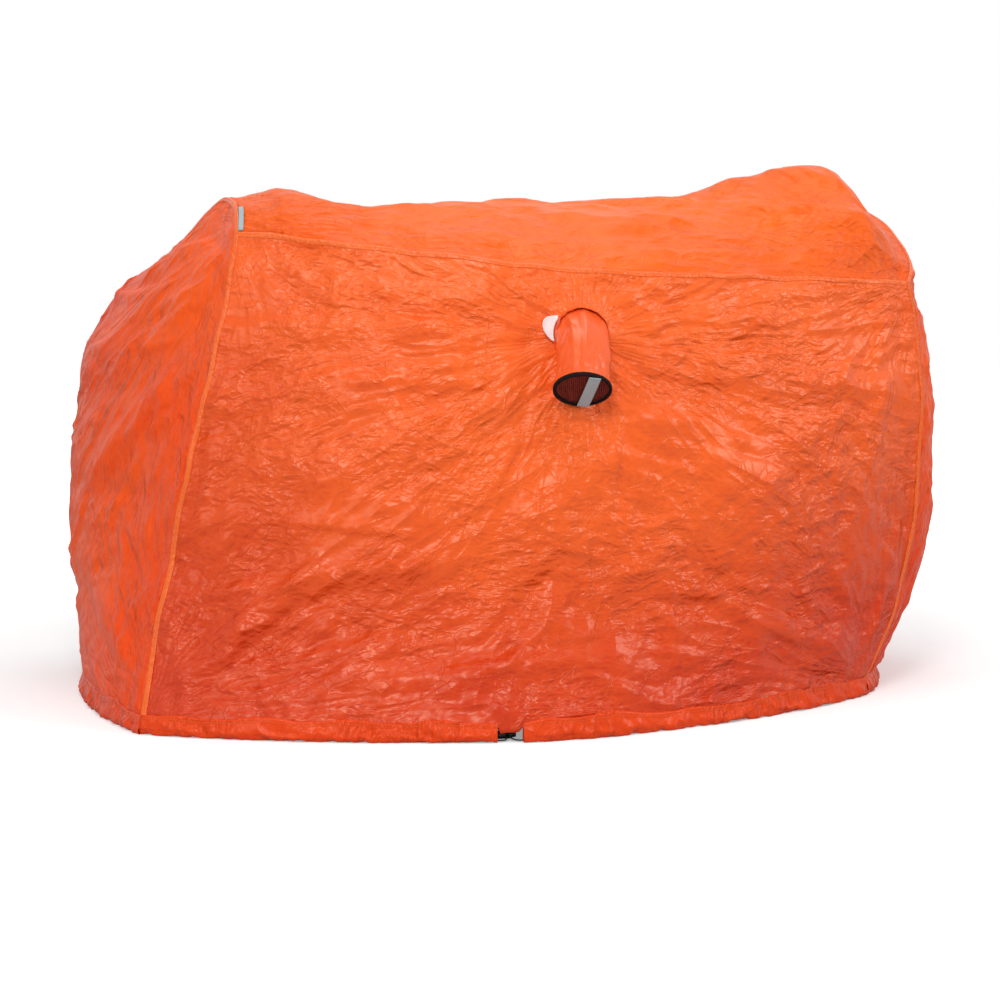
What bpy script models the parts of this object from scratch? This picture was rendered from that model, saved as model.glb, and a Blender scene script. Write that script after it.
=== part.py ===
# Bothy bag: an emergency group shelter of thin coated nylon, stood up to its full room.
# Metres. +X runs along the bag, -Y is the front with the vent sleeve, +Z is up.
# The origin is on the ground, in the middle of the bag's outline.

import math

import bmesh
import bpy
import numpy as np

# Length, depth and height of the whole bag
BAG_LENGTH = 1.600
BAG_DEPTH = 1.110
BAG_HEIGHT = 0.970

# Where the four corners of the hem stand on the ground, as shares of the length and depth
HEM_CORNERS = {
    "front_left": (-0.4550, -0.3000),
    "front_right": (0.3510, -0.2700),
    "back_right": (0.3687, 0.3279),
    "back_left": (-0.4375, 0.3189),
}

# Where the four upper corners are, as shares of the length, depth and height
ROOF_CORNERS = {
    "front_left": (-0.3362, -0.1450, 0.8474),
    "front_right": (0.4213, -0.1946, 0.7608),
    "back_right": (0.3844, 0.2649, 0.8144),
    "back_left": (-0.3719, 0.2559, 0.8200),
}

# The hem swings outwards between its corners; shares of the length and depth
HEM_SWING = {
    "front": [(-0.3275, -0.3980), (-0.1875, -0.4640), (-0.0531, -0.5000), (0.1031, -0.4520), (0.2350, -0.3740)],
    "right": [(0.4125, -0.0865), (0.4188, 0.1297)],
    "back": [(0.1812, 0.4360), (-0.0062, 0.4631), (-0.2187, 0.4360)],
    "left": [(-0.4844, 0.1658), (-0.4938, -0.0144)],
}

# Points that each upright corner seam passes on its way up; shares of the length, depth and height
POST_BEND = {
    "front_left": [(-0.4263, -0.2198, 0.2268), (-0.3950, -0.2081, 0.4639), (-0.3606, -0.1811, 0.6804)],
    "front_right": [(0.4031, -0.2261, 0.1649), (0.4312, -0.2144, 0.4330), (0.4312, -0.2036, 0.6392)],
    "back_right": [(0.3937, 0.3459, 0.2268), (0.4000, 0.3279, 0.5155)],
    "back_left": [(-0.4720, 0.3459, 0.2268), (-0.4820, 0.3414, 0.4948), (-0.4670, 0.3099, 0.6520)],
}

# Points that each roof seam passes; shares of the length, depth and height
ROOF_BEND = {
    "front": [(-0.1937, -0.2486, 0.8196), (-0.0156, -0.3117, 0.7866), (0.2125, -0.2802, 0.7711)],
    "right": [(0.4531, -0.0595, 0.8330), (0.4437, 0.1117, 0.9021)],
    "back": [(0.1812, 0.3234, 0.8144), (-0.0375, 0.3369, 0.7938), (-0.2125, 0.3099, 0.7887)],
    "left": [(-0.3656, 0.1297, 0.8460), (-0.3344, -0.0234, 0.9130)],
}

# Bulges of each panel: along, up, half width and half height as shares of the panel, then the push in metres
BULGES = {
    "front": [(0.27, 0.42, 0.22, 0.28, 0.028), (0.74, 0.45, 0.20, 0.28, 0.034)],
    "right": [(0.35, 0.42, 0.30, 0.30, 0.041)],
    "back": [(0.28, 0.50, 0.18, 0.28, 0.050), (0.70, 0.48, 0.18, 0.28, 0.060)],
    "left": [(0.35, 0.45, 0.30, 0.26, 0.014)],
    "roof": [
        (0.50, 0.50, 0.60, 0.36, 0.044),
        (0.07, 0.30, 0.09, 0.25, 0.018),
        (0.18, 0.52, 0.11, 0.40, -0.028),
        (0.93, 0.22, 0.11, 0.22, 0.045),
        (0.90, 0.60, 0.12, 0.25, 0.062),
    ],
}

# Main folds: both ends as shares of the panel (along, up, along, up), then half width and height in metres
FOLDS = {
    "front": [
        (0.40, 0.88, 0.06, 0.95, 0.024, 0.009),
        (0.39, 0.83, 0.05, 0.82, 0.026, 0.012),
        (0.40, 0.78, 0.08, 0.68, 0.028, 0.012),
        (0.41, 0.72, 0.14, 0.50, 0.030, 0.011),
        (0.53, 0.88, 0.86, 0.92, 0.024, 0.008),
        (0.54, 0.80, 0.93, 0.74, 0.028, 0.011),
        (0.53, 0.72, 0.78, 0.46, 0.030, 0.012),
        (0.46, 0.58, 0.42, 0.26, 0.032, 0.010),
        (0.03, 0.06, 0.20, 0.34, 0.026, 0.014),
        (0.05, 0.26, 0.34, 0.36, 0.028, 0.012),
        (0.24, 0.08, 0.58, 0.16, 0.028, 0.011),
        (0.96, 0.08, 0.66, 0.26, 0.030, 0.013),
        (0.96, 0.90, 0.88, 0.56, 0.028, 0.012),
    ],
    "right": [
        (0.08, 0.90, 0.34, 0.50, 0.034, 0.012),
        (0.90, 0.10, 0.50, 0.36, 0.034, 0.012),
    ],
    "back": [
        (0.04, 0.06, 0.26, 0.36, 0.032, 0.013),
        (0.96, 0.06, 0.74, 0.34, 0.032, 0.013),
        (0.12, 0.84, 0.44, 0.72, 0.032, 0.011),
        (0.88, 0.84, 0.56, 0.70, 0.032, 0.011),
        (0.30, 0.16, 0.68, 0.12, 0.032, 0.010),
    ],
    "left": [
        (0.94, 0.92, 0.60, 0.66, 0.030, 0.013),
        (0.94, 0.70, 0.46, 0.40, 0.030, 0.012),
        (0.92, 0.10, 0.50, 0.24, 0.030, 0.012),
    ],
    "roof": [
        (0.04, 0.16, 0.30, 0.34, 0.028, 0.010),
        (0.96, 0.14, 0.72, 0.40, 0.028, 0.014),
        (0.95, 0.40, 0.74, 0.62, 0.028, 0.013),
        (0.36, 0.22, 0.66, 0.26, 0.030, 0.009),
        (0.06, 0.78, 0.36, 0.64, 0.030, 0.010),
    ],
}

# A panel's own shape fades out over this share of its width and height, so its edges stay on the seams
EDGE_FADE = 0.10

# Facets along the front, across the ends and up the walls
LONG_STEPS = 28
CROSS_STEPS = 11
UP_STEPS = 15

# Fabric, seams and the clearance between pieces that touch
CLOTH_THICKNESS = 0.0012
SEAM_RADIUS = 0.0035
SEAM_SIDES = 6
CLEARANCE = 0.0003

# Hem channel: a folded tube of fabric that stands on a flat foot and holds the drawcord
HEM_HEIGHT = 0.0280
HEM_TOP_WIDTH = 0.0030
HEM_BELLY_WIDTH = 0.0116
HEM_BELLY_HEIGHT = 0.0080
HEM_FOOT_WIDTH = 0.0074
HEM_WALL = 0.0011
HEM_STITCH_BAND = 0.0090
NOTCH_ALONG = 0.439
NOTCH_WIDTH = 0.042
NOTCH_MARGIN = 0.004

# Drawcord, its two tails and the knot that joins them. A tail's turn into the lock is given as its
# distance from the middle in tail spacings, then its way in and its climb as shares
CORD_DIAMETER = 0.0025
CORD_SIDES = 8
TAIL_SPACING = 0.0034
TAIL_LENGTH_INSIDE = 0.125
TAIL_POINTS = 34
TAIL_EASE = 0.008
TAIL_SETTLED = 0.92
TAIL_SAG = 0.25
TAIL_TURN = [(4.6, 0.13, 0.10), (2.7, 0.32, 0.36), (1.5, 0.54, 0.70), (1.08, 0.74, 0.94)]
KNOT_SCALE = 0.0024
KNOT_RISE = 0.0026
KNOT_POINTS = 27

# Cord lock: a barrel on its side behind the notch, its button at the right end
LOCK_DIAMETER = 0.0140
LOCK_WALL = 0.0016
LOCK_LENGTH = 0.0255
LOCK_END_WALL = 0.0020
LOCK_BUTTON_SIDE = 0.0095
LOCK_CHAMFER = 0.0010
LOCK_INSET = 0.026
LOCK_TRAVEL = 0.045
LOCK_GROUND_CLEARANCE = 0.0004
BUTTON_STAND_OUT = 0.0060
BUTTON_TRAVEL = 0.0040
BUTTON_INNER_END = 0.0060
BUTTON_BOSS_RADIUS = 0.0024
BUTTON_BOSS_LENGTH = 0.0014
BUTTON_CHAMFER = 0.0008
SPRING_WIRE = 0.0008
SPRING_DIAMETER = 0.0074
SPRING_TURNS = 4
SPRING_TURN_POINTS = 8
LOCK_SIDES = 24

# Vent: a round hole in the front, its stitched collar and the sleeve that hangs from it
VENT_ALONG = 0.465
VENT_UP = 0.848
VENT_RADIUS = 0.0475
VENT_TIP_RADIUS = 0.0470
VENT_DROP = 0.081
VENT_TIP_SLOPE = 55.0
VENT_TIP_SWING = 15.0
VENT_WALL_CLEARANCE = 0.010
VENT_SIDES = 24
VENT_RINGS = 9
VENT_CUT_REACH = 0.030
SLEEVE_LEAVING = 0.36
SLEEVE_ARRIVING = 0.20
COLLAR_OUTER_EXTRA = 0.0015
COLLAR_WIDTH = 0.0070
COLLAR_DEPTH = 0.0100
BINDING_OUTER_EXTRA = 0.0020
BINDING_WIDTH = 0.0055
BINDING_DEPTH = 0.0070
MESH_THICKNESS = 0.0010
MESH_RECESS = 0.0006
MESH_PITCH = 0.0094
MESH_THREAD = 0.0014
MESH_RIM = 0.0012
STRAP_WIDTH = 0.0200
STRAP_THICKNESS = 0.0015
STRAP_BOW = 0.0010
STRAP_TURN = 12.0
STRAP_OFFSET = 0.0110
LABEL_TURN = 163.0
LABEL_HEIGHT = 0.046
LABEL_LENGTH = 0.026
LABEL_THICKNESS = 0.0006
LABEL_CURL = 75.0

# Hang loop: a doubled tape on the roof, beside its left seam, sewn in at the front left corner
LOOP_WIDTH = 0.0085
LOOP_THICKNESS = 0.0010
LOOP_EYE = 0.0012
LOOP_LENGTH = 0.072
LOOP_START = 0.004
LOOP_BESIDE_SEAM = 0.0082
LOOP_LIFT = 0.0005

SIDES = {
    "front": ("front_left", "front_right"),
    "right": ("front_right", "back_right"),
    "back": ("back_right", "back_left"),
    "left": ("back_left", "front_left"),
}
ORANGE = (0.86, 0.145, 0.035)
DEEP_ORANGE = (0.78, 0.095, 0.020)
PALE_ORANGE = (0.90, 0.240, 0.070)
BLACK = (0.012, 0.011, 0.012)
MAROON = (0.060, 0.012, 0.012)
GREY_WEBBING = (0.42, 0.45, 0.48)
WHITE = (0.80, 0.80, 0.80)
STEEL = (0.55, 0.55, 0.56)


def unit(vectors):
    return vectors / np.linalg.norm(vectors, axis=-1, keepdims=True)


def smooth_curve(points, shares):
    # Points at the given shares of one smooth curve through all the points
    points = np.asarray(points, float)
    shares = np.atleast_1d(np.asarray(shares, float))
    steps = np.linalg.norm(np.diff(points, axis=0), axis=1)
    at = np.concatenate([[0.0], np.cumsum(steps)]) / steps.sum()
    slope = np.gradient(points, at, axis=0)
    slope[0] = 2 * (points[1] - points[0]) / (at[1] - at[0]) - slope[1]
    slope[-1] = 2 * (points[-1] - points[-2]) / (at[-1] - at[-2]) - slope[-2]
    i = np.clip(np.searchsorted(at, shares, side="right") - 1, 0, len(points) - 2)
    span = (at[i + 1] - at[i])[:, None]
    s = ((shares - at[i]) / (at[i + 1] - at[i]))[:, None]
    leaving = (2 * s**3 - 3 * s**2 + 1) * points[i] + (s**3 - 2 * s**2 + s) * span * slope[i]
    arriving = (3 * s**2 - 2 * s**3) * points[i + 1] + (s**3 - s**2) * span * slope[i + 1]
    return leaving + arriving


def curve_length(points):
    run = smooth_curve(points, np.linspace(0, 1, 60))
    return np.linalg.norm(np.diff(run, axis=0), axis=1).sum()


# The seam lines of the bag

def placed(shares):
    # A point in metres from its shares of the bag's length, depth and height
    return tuple(share * size for share, size in zip(shares, (BAG_LENGTH, BAG_DEPTH, BAG_HEIGHT)))


def hem_curve(side):
    start, end = SIDES[side]
    plan = [HEM_CORNERS[start], *HEM_SWING[side], HEM_CORNERS[end]]
    return [(*placed(point), HEM_HEIGHT + CLEARANCE) for point in plan]


def post_curve(corner):
    foot = (*placed(HEM_CORNERS[corner]), HEM_HEIGHT + CLEARANCE)
    return [foot, *[placed(point) for point in POST_BEND[corner]], placed(ROOF_CORNERS[corner])]


def roof_curve(side):
    start, end = SIDES[side]
    return [placed(point) for point in (ROOF_CORNERS[start], *ROOF_BEND[side], ROOF_CORNERS[end])]


def panel_edges(name):
    # Bottom and top edges from left to right, then left and right edges going up
    if name == "roof":
        return roof_curve("front"), roof_curve("back")[::-1], roof_curve("left")[::-1], roof_curve("right")
    start, end = SIDES[name]
    top = roof_curve(name)
    return hem_curve(name), top, post_curve(start), post_curve(end)


# The panel surfaces

def stretched(name, along, up):
    # The plain surface stretched between a panel's four edges
    bottom, top, left, right = panel_edges(name)
    u = along.ravel()
    v = up.ravel()
    low = smooth_curve(bottom, u)
    high = smooth_curve(top, u)
    near = smooth_curve(left, v)
    far = smooth_curve(right, v)
    u = u[:, None]
    v = v[:, None]
    corners = ((1 - u) * (1 - v) * np.array(bottom[0]) + u * (1 - v) * np.array(bottom[-1])
               + (1 - u) * v * np.array(top[0]) + u * v * np.array(top[-1]))
    points = (1 - v) * low + v * high + (1 - u) * near + u * far - corners
    return points.reshape(*along.shape, 3)


def fade_in(share):
    s = np.clip(np.minimum(share, 1 - share) / EDGE_FADE, 0, 1)
    return s * s * (3 - 2 * s)


def panel_reach(name):
    # Rough width and height of a panel in metres
    bottom, top, left, right = panel_edges(name)
    width = (curve_length(bottom) + curve_length(top)) / 2
    height = (curve_length(left) + curve_length(right)) / 2
    return width, height


def relief(name, along, up):
    # How far bulges and folds stand out of the stretched surface
    out = np.zeros(along.shape)
    for centre, middle, half_width, half_height, push in BULGES[name]:
        out += push * np.exp(-((along - centre) / half_width) ** 2 - ((up - middle) / half_height) ** 2)
    width, height = panel_reach(name)
    folds = np.zeros(along.shape)
    for from_along, from_up, to_along, to_up, half_width, tall in FOLDS[name]:
        x = (along - from_along) * width
        y = (up - from_up) * height
        run_x = (to_along - from_along) * width
        run_y = (to_up - from_up) * height
        length = math.hypot(run_x, run_y)
        on = np.clip((x * run_x + y * run_y) / length**2, 0, 1)
        aside = (x * run_y - y * run_x) / length
        folds += tall * np.exp(-(aside / half_width) ** 2) * (4 * on * (1 - on)) ** 0.75
    if name == "front":
        away = np.hypot((along - VENT_ALONG) * width, (up - VENT_UP) * height)
        folds *= 1 - np.exp(-(away / (1.4 * VENT_RADIUS)) ** 6)
    return (out + folds) * fade_in(along) * fade_in(up)


def surface(name, along, up):
    # Points of a panel's middle surface and its normals, pointing out of the bag
    step = 1e-3

    def raised(u, v):
        inner_u = np.clip(u, step, 1 - step)
        inner_v = np.clip(v, step, 1 - step)
        across = stretched(name, inner_u + step, inner_v) - stretched(name, inner_u - step, inner_v)
        rise = stretched(name, inner_u, inner_v + step) - stretched(name, inner_u, inner_v - step)
        return stretched(name, u, v) + unit(np.cross(across, rise)) * relief(name, u, v)[..., None]

    inner_u = np.clip(along, step, 1 - step)
    inner_v = np.clip(up, step, 1 - step)
    across = raised(inner_u + step, inner_v) - raised(inner_u - step, inner_v)
    rise = raised(inner_u, inner_v + step) - raised(inner_u, inner_v - step)
    return raised(along, up), unit(np.cross(across, rise)), across / (2 * step), rise / (2 * step)


def panel_steps(name):
    long_way = LONG_STEPS if name in ("front", "back", "roof") else CROSS_STEPS
    short_way = CROSS_STEPS if name == "roof" else UP_STEPS
    return long_way, short_way


def panel_grid(name):
    # Shares of a panel's corner points, its outer rows drawn back to make room for the seams
    long_way, short_way = panel_steps(name)
    along, up = np.meshgrid(np.linspace(0, 1, long_way + 1), np.linspace(0, 1, short_way + 1), indexing="ij")
    _, _, across, rise = surface(name, along, up)
    area = np.linalg.norm(np.cross(across, rise), axis=-1)
    room = SEAM_RADIUS + CLEARANCE
    side_room = room * np.linalg.norm(rise, axis=-1) / area
    end_room = room * np.linalg.norm(across, axis=-1) / area
    along[0] += side_room[0]
    along[-1] -= side_room[-1]
    up[:, -1] -= end_room[:, -1]
    if name == "roof":
        up[:, 0] += end_room[:, 0]
    return along, up


# Making meshes

def make_object(name, vertices, faces, colour, roughness, metallic=0.0, smooth=True):
    mesh = bpy.data.meshes.new(name)
    mesh.from_pydata([tuple(v) for v in vertices], [], faces)
    work = bmesh.new()
    work.from_mesh(mesh)
    bmesh.ops.recalc_face_normals(work, faces=work.faces)
    work.to_mesh(mesh)
    work.free()
    if smooth:
        mesh.shade_smooth()
        mesh.set_sharp_from_angle(angle=math.radians(40))
    return finish_object(name, mesh, colour, roughness, metallic)


def finish_object(name, data, colour, roughness, metallic=0.0):
    item = bpy.data.objects.new(name, data)
    bpy.context.scene.collection.objects.link(item)
    material = bpy.data.materials.new(name)
    material.use_nodes = True
    shader = material.node_tree.nodes["Principled BSDF"]
    shader.inputs["Base Color"].default_value = (*colour, 1.0)
    shader.inputs["Roughness"].default_value = roughness
    shader.inputs["Metallic"].default_value = metallic
    data.materials.append(material)
    return item


def set_origin(item, point):
    # Moves an object's origin to a point and leaves its shape where it is
    point = np.asarray(point, float)
    for vertex in item.data.vertices:
        vertex.co = tuple(np.array(vertex.co) - point)
    item.location = tuple(point)


def halved(a, b, c, d):
    # A four-sided facet as two triangles. Both faces of a wall are halved the same way, so that they never cross
    return [(a, b, c), (a, c, d)]


def ring_faces(rings, count, start=0):
    faces = []
    for k in range(rings - 1):
        for i in range(count):
            j = (i + 1) % count
            a = start + k * count
            b = a + count
            faces += halved(a + i, a + j, b + j, b + i)
    return faces


def solid_from_rings(rings):
    # A closed body through rings of points, capped at both ends
    rings = np.asarray(rings)
    count = rings.shape[1]
    last = (len(rings) - 1) * count
    faces = ring_faces(len(rings), count)
    faces.append(tuple(range(count))[::-1])
    faces.append(tuple(range(last, last + count)))
    return rings.reshape(-1, 3), faces


def pipe_from_rings(outer, inner):
    # A body with a bore that is open at both ends
    outer = np.asarray(outer)
    inner = np.asarray(inner)
    count = outer.shape[1]
    total = len(outer) * count
    faces = ring_faces(len(outer), count)
    faces += [face[::-1] for face in ring_faces(len(inner), count, total)]
    for k in (0, len(outer) - 1):
        for i in range(count):
            j = (i + 1) % count
            a = k * count
            faces.append((a + i, a + j, total + a + j, total + a + i))
    return np.concatenate([outer.reshape(-1, 3), inner.reshape(-1, 3)]), faces


def circle(sides):
    turn = np.arange(sides) * 2 * math.pi / sides
    return np.cos(turn), np.sin(turn)


def disc_ring(centre, side, top, radius, sides):
    cosine, sine = circle(sides)
    return centre + radius * (cosine[:, None] * side + sine[:, None] * top)


def cut(item, cutter):
    cutter.hide_render = True
    cutter.display_type = "WIRE"
    tool = item.modifiers.new("cut", "BOOLEAN")
    tool.operation = "DIFFERENCE"
    tool.solver = "EXACT"
    tool.object = cutter


def make_cutter(name, vertices, faces):
    return make_object(name, vertices, faces, BLACK, 0.5, smooth=False)


# Panels

def panel_faces(name):
    # Outer and inner faces of a panel as grids of points
    along, up = panel_grid(name)
    points, normals, _, _ = surface(name, along, up)
    outer = points + normals * CLOTH_THICKNESS / 2
    inner = points - normals * CLOTH_THICKNESS / 2
    if name != "roof":
        outer[:, 0, 2] = HEM_HEIGHT + CLEARANCE
        inner[:, 0, 2] = HEM_HEIGHT + CLEARANCE
    return outer, inner


def make_panel(name, colour):
    outer, inner = panel_faces(name)
    columns, rows = outer.shape[:2]
    total = columns * rows

    def at(i, j):
        return i * rows + j

    faces = []
    for i in range(columns - 1):
        for j in range(rows - 1):
            for facet in halved(at(i, j), at(i + 1, j), at(i + 1, j + 1), at(i, j + 1)):
                faces.append(facet)
                faces.append(tuple(total + k for k in facet)[::-1])
    border = [at(i, 0) for i in range(columns - 1)] + [at(columns - 1, j) for j in range(rows - 1)]
    border += [at(i, rows - 1) for i in range(columns - 1, 0, -1)] + [at(0, j) for j in range(rows - 1, 0, -1)]
    for k, a in enumerate(border):
        b = border[(k + 1) % len(border)]
        faces.append((a, total + a, total + b, b))
    vertices = np.concatenate([outer.reshape(-1, 3), inner.reshape(-1, 3)])
    return make_object(name + "_panel", vertices, faces, colour, 0.38)


# Seams

def seam_ends(corner):
    # The three seam lines that leave an upper corner
    lines = [post_curve(corner)[::-1]]
    for side, (start, end) in SIDES.items():
        if start == corner:
            lines.append(roof_curve(side))
        if end == corner:
            lines.append(roof_curve(side)[::-1])
    return lines


def corner_room(corner):
    # How far short of an upper corner its seams stop, so that the three don't run into each other
    ways = [unit(smooth_curve(line, 0.02)[0] - np.array(line[0])) for line in seam_ends(corner)]
    sharpest = max(float(a @ b) for k, a in enumerate(ways) for b in ways[k + 1:])
    return SEAM_RADIUS / math.tan(math.acos(sharpest) / 2) + 2 * CLEARANCE


def tube_rings(path, radius, sides):
    # Rings square to a path, carried along it without twist
    path = np.asarray(path)
    ahead = unit(np.diff(path, axis=0))
    tangents = unit(np.concatenate([ahead[:1], ahead[:-1] + ahead[1:], ahead[-1:]]))
    side = unit(np.cross(tangents[0], (0.31, 0.17, 0.93)))
    rings = []
    for point, tangent in zip(path, tangents):
        side = unit(side - tangent * (side @ tangent))
        rings.append(disc_ring(point, side, np.cross(tangent, side), radius, sides))
    return np.array(rings)


def make_corner_seam(corner):
    line = post_curve(corner)
    shares = np.linspace(0, 1, UP_STEPS + 1)
    shares[-1] -= corner_room(corner) / curve_length(line)
    rings = tube_rings(smooth_curve(line, shares), SEAM_RADIUS, SEAM_SIDES)
    rings[0, :, 2] = HEM_HEIGHT + CLEARANCE
    make_object("corner_seam_" + corner, *solid_from_rings(rings), PALE_ORANGE, 0.45)


def make_roof_seam(side):
    line = roof_curve(side)
    start, end = SIDES[side]
    steps = LONG_STEPS if side in ("front", "back") else CROSS_STEPS
    shares = np.linspace(0, 1, steps + 1)
    shares[0] += corner_room(start) / curve_length(line)
    shares[-1] -= corner_room(end) / curve_length(line)
    rings = tube_rings(smooth_curve(line, shares), SEAM_RADIUS, SEAM_SIDES)
    make_object("roof_seam_" + side, *solid_from_rings(rings), PALE_ORANGE, 0.45)


# Hem and drawcord

def hem_plan(side, shares):
    points = smooth_curve(hem_curve(side), shares)
    points[:, 2] = 0
    return points


def side_shares(side):
    steps = LONG_STEPS if side in ("front", "back") else CROSS_STEPS
    return np.linspace(0, 1, steps + 1)


def notch_shares():
    half = NOTCH_WIDTH / 2 / curve_length(hem_curve("front"))
    return NOTCH_ALONG - half, NOTCH_ALONG + half


def mitred_rings(path, section, before=None, after=None):
    # Rings of a level path; section holds (outwards, height) pairs. Before and after are the points
    # beyond the path's ends, where it turns a corner and its end is mitred.
    path = np.asarray(path)
    ahead = unit(np.diff(path, axis=0))
    first = ahead[0] if before is None else unit(path[0] - before)
    last = ahead[-1] if after is None else unit(after - path[-1])
    into = np.concatenate([[first], ahead])
    out_of = np.concatenate([ahead, [last]])
    outward = np.stack([into[:, 1], -into[:, 0], np.zeros(len(path))], axis=1)
    next_outward = np.stack([out_of[:, 1], -out_of[:, 0], np.zeros(len(path))], axis=1)
    bisector = unit(outward + next_outward)
    bisector /= np.sum(bisector * outward, axis=1, keepdims=True)
    rings = []
    for point, side in zip(path, bisector):
        rings.append([point + side * a + np.array([0, 0, z]) for a, z in section])
    return np.array(rings)


def hem_sections():
    # Outer and inner outlines across the hem: a flat foot, a belly and a stitched top
    foot = HEM_FOOT_WIDTH / 2
    belly = HEM_BELLY_WIDTH / 2
    top = HEM_TOP_WIDTH / 2
    outer = [(foot, 0), (belly, HEM_BELLY_HEIGHT), (top, HEM_HEIGHT), (-top, HEM_HEIGHT),
             (-belly, HEM_BELLY_HEIGHT), (-foot, 0)]
    inner_top = HEM_HEIGHT - HEM_STITCH_BAND
    throat = top / 2
    inner = [(foot - HEM_WALL / 2, HEM_WALL), (belly - HEM_WALL, HEM_BELLY_HEIGHT), (throat, inner_top),
             (-throat, inner_top), (-belly + HEM_WALL, HEM_BELLY_HEIGHT), (-foot + HEM_WALL / 2, HEM_WALL)]
    return outer, inner


def neighbours(side):
    # Points of the hem line just before a side's start and just after its end
    order = list(SIDES)
    here = order.index(side)
    before = order[here - 1]
    after = order[(here + 1) % len(order)]
    return hem_plan(before, side_shares(before)[-2])[0], hem_plan(after, side_shares(after)[1])[0]


def make_hem(name, side, shares, colour):
    path = hem_plan(side, shares)
    before, after = neighbours(side)
    if shares[0] > 0:
        before = None
    if shares[-1] < 1:
        after = None
    outer, inner = hem_sections()
    shells = []
    for section in (outer, inner):
        rings = mitred_rings(path, section, before, after)
        if before is not None:
            rings[0] += unit(path[1] - path[0]) * CLEARANCE
        if after is not None:
            rings[-1] -= unit(path[-1] - path[-2]) * CLEARANCE
        shells.append(rings)
    make_object(name, *pipe_from_rings(*shells), colour, 0.42)


def make_hems():
    left_end, right_start = notch_shares()
    shares = side_shares("front")
    left = np.append(shares[shares < left_end - NOTCH_MARGIN], left_end)
    right = np.insert(shares[shares > right_start + NOTCH_MARGIN], 0, right_start)
    make_hem("hem_front_left", "front", left, DEEP_ORANGE)
    make_hem("hem_front_right", "front", right, DEEP_ORANGE)
    for side in ("right", "back", "left"):
        make_hem("hem_" + side, side, side_shares(side), DEEP_ORANGE)


def cord_height():
    return HEM_WALL + CLEARANCE + CORD_DIAMETER / 2


def make_hem_cord():
    # One drawcord, round the whole bag from one side of the notch to the other
    left_end, right_start = notch_shares()
    shares = side_shares("front")
    path = list(hem_plan("front", np.insert(shares[shares > right_start + NOTCH_MARGIN], 0, right_start)))
    for side in ("right", "back", "left"):
        path += list(hem_plan(side, side_shares(side)[1:]))
    path += list(hem_plan("front", np.append(shares[1:][shares[1:] < left_end - NOTCH_MARGIN], left_end)))
    cosine, sine = circle(CORD_SIDES)
    radius = CORD_DIAMETER / 2
    section = [(radius * c, cord_height() + radius * s) for c, s in zip(cosine, sine)]
    make_object("hem_cord", *solid_from_rings(mitred_rings(path, section)), BLACK, 0.7)


def notch_centre():
    left_end, right_start = notch_shares()
    ends = hem_plan("front", [left_end, right_start])
    return ends.mean(axis=0), ends


def lock_height():
    return LOCK_DIAMETER / 2 + LOCK_GROUND_CLEARANCE


def tail_route(hand):
    # One tail: out of the hem, round into the lock, straight through its travel, then down to the knot
    centre, ends = notch_centre()
    mouth = ends[0] if hand < 0 else ends[1]
    way_out = unit(centre - mouth)
    aside = hand * TAIL_SPACING / 2
    low = cord_height()
    high = lock_height()
    rest = LOCK_INSET - LOCK_DIAMETER / 2
    straight = LOCK_INSET + LOCK_DIAMETER / 2 + LOCK_TRAVEL
    knot = knot_height()
    route = [mouth + way_out * step + (0, 0, low) for step in (1.5 * CLEARANCE, CORD_DIAMETER, 2 * CORD_DIAMETER)]
    for spread, inset, climb in TAIL_TURN:
        route.append(centre + (aside * spread, rest * inset, low + (high - low) * climb))
    for inset in (rest - CORD_DIAMETER, rest, LOCK_INSET, straight - 8 * CORD_DIAMETER, straight):
        route.append(centre + (aside, inset, high))
    run_out = TAIL_LENGTH_INSIDE - TAIL_EASE
    for inset, drop in ((straight + TAIL_EASE, TAIL_SAG), (run_out, TAIL_SETTLED), (TAIL_LENGTH_INSIDE, 1)):
        route.append(centre + (aside, inset, high + (knot - high) * drop))
    return np.array(route)


def make_cord_curve(name, points, diameter, resolution, colour, roughness, metallic=0.0, closed=False):
    data = bpy.data.curves.new(name, "CURVE")
    data.dimensions = "3D"
    data.bevel_depth = diameter / 2
    data.bevel_resolution = resolution
    data.use_fill_caps = not closed
    spline = data.splines.new("POLY")
    spline.points.add(len(points) - 1)
    spline.use_cyclic_u = closed
    for slot, point in zip(spline.points, points):
        slot.co = (*point, 1.0)
    return finish_object(name, data, colour, roughness, metallic)


def make_tails():
    for name, hand in (("cord_tail_left", -1), ("cord_tail_right", 1)):
        points = smooth_curve(tail_route(hand), np.linspace(0, 1, TAIL_POINTS))
        make_cord_curve(name, points, CORD_DIAMETER, 2, BLACK, 0.7)


def knot_height():
    return KNOT_RISE + CORD_DIAMETER / 2 + CLEARANCE


def knot_points():
    # A trefoil lying on the ground, with a lobe towards the tails
    turn = np.arange(KNOT_POINTS) * 2 * math.pi / KNOT_POINTS
    reach = 3 * KNOT_SCALE
    centre, _ = notch_centre()
    x = np.sin(turn) + 2 * np.sin(2 * turn)
    y = np.cos(turn) - 2 * np.cos(2 * turn)
    z = -np.sin(3 * turn)
    middle = centre + (0, TAIL_LENGTH_INSIDE + reach + CORD_DIAMETER / 2 + CLEARANCE, knot_height())
    return middle + np.stack([x * KNOT_SCALE, y * KNOT_SCALE, z * KNOT_RISE], axis=1)


def make_knot():
    make_cord_curve("cord_knot", knot_points(), CORD_DIAMETER, 1, BLACK, 0.7, closed=True)


# Cord lock

def lock_centre():
    centre, _ = notch_centre()
    return centre + (0, LOCK_INSET, lock_height())


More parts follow.
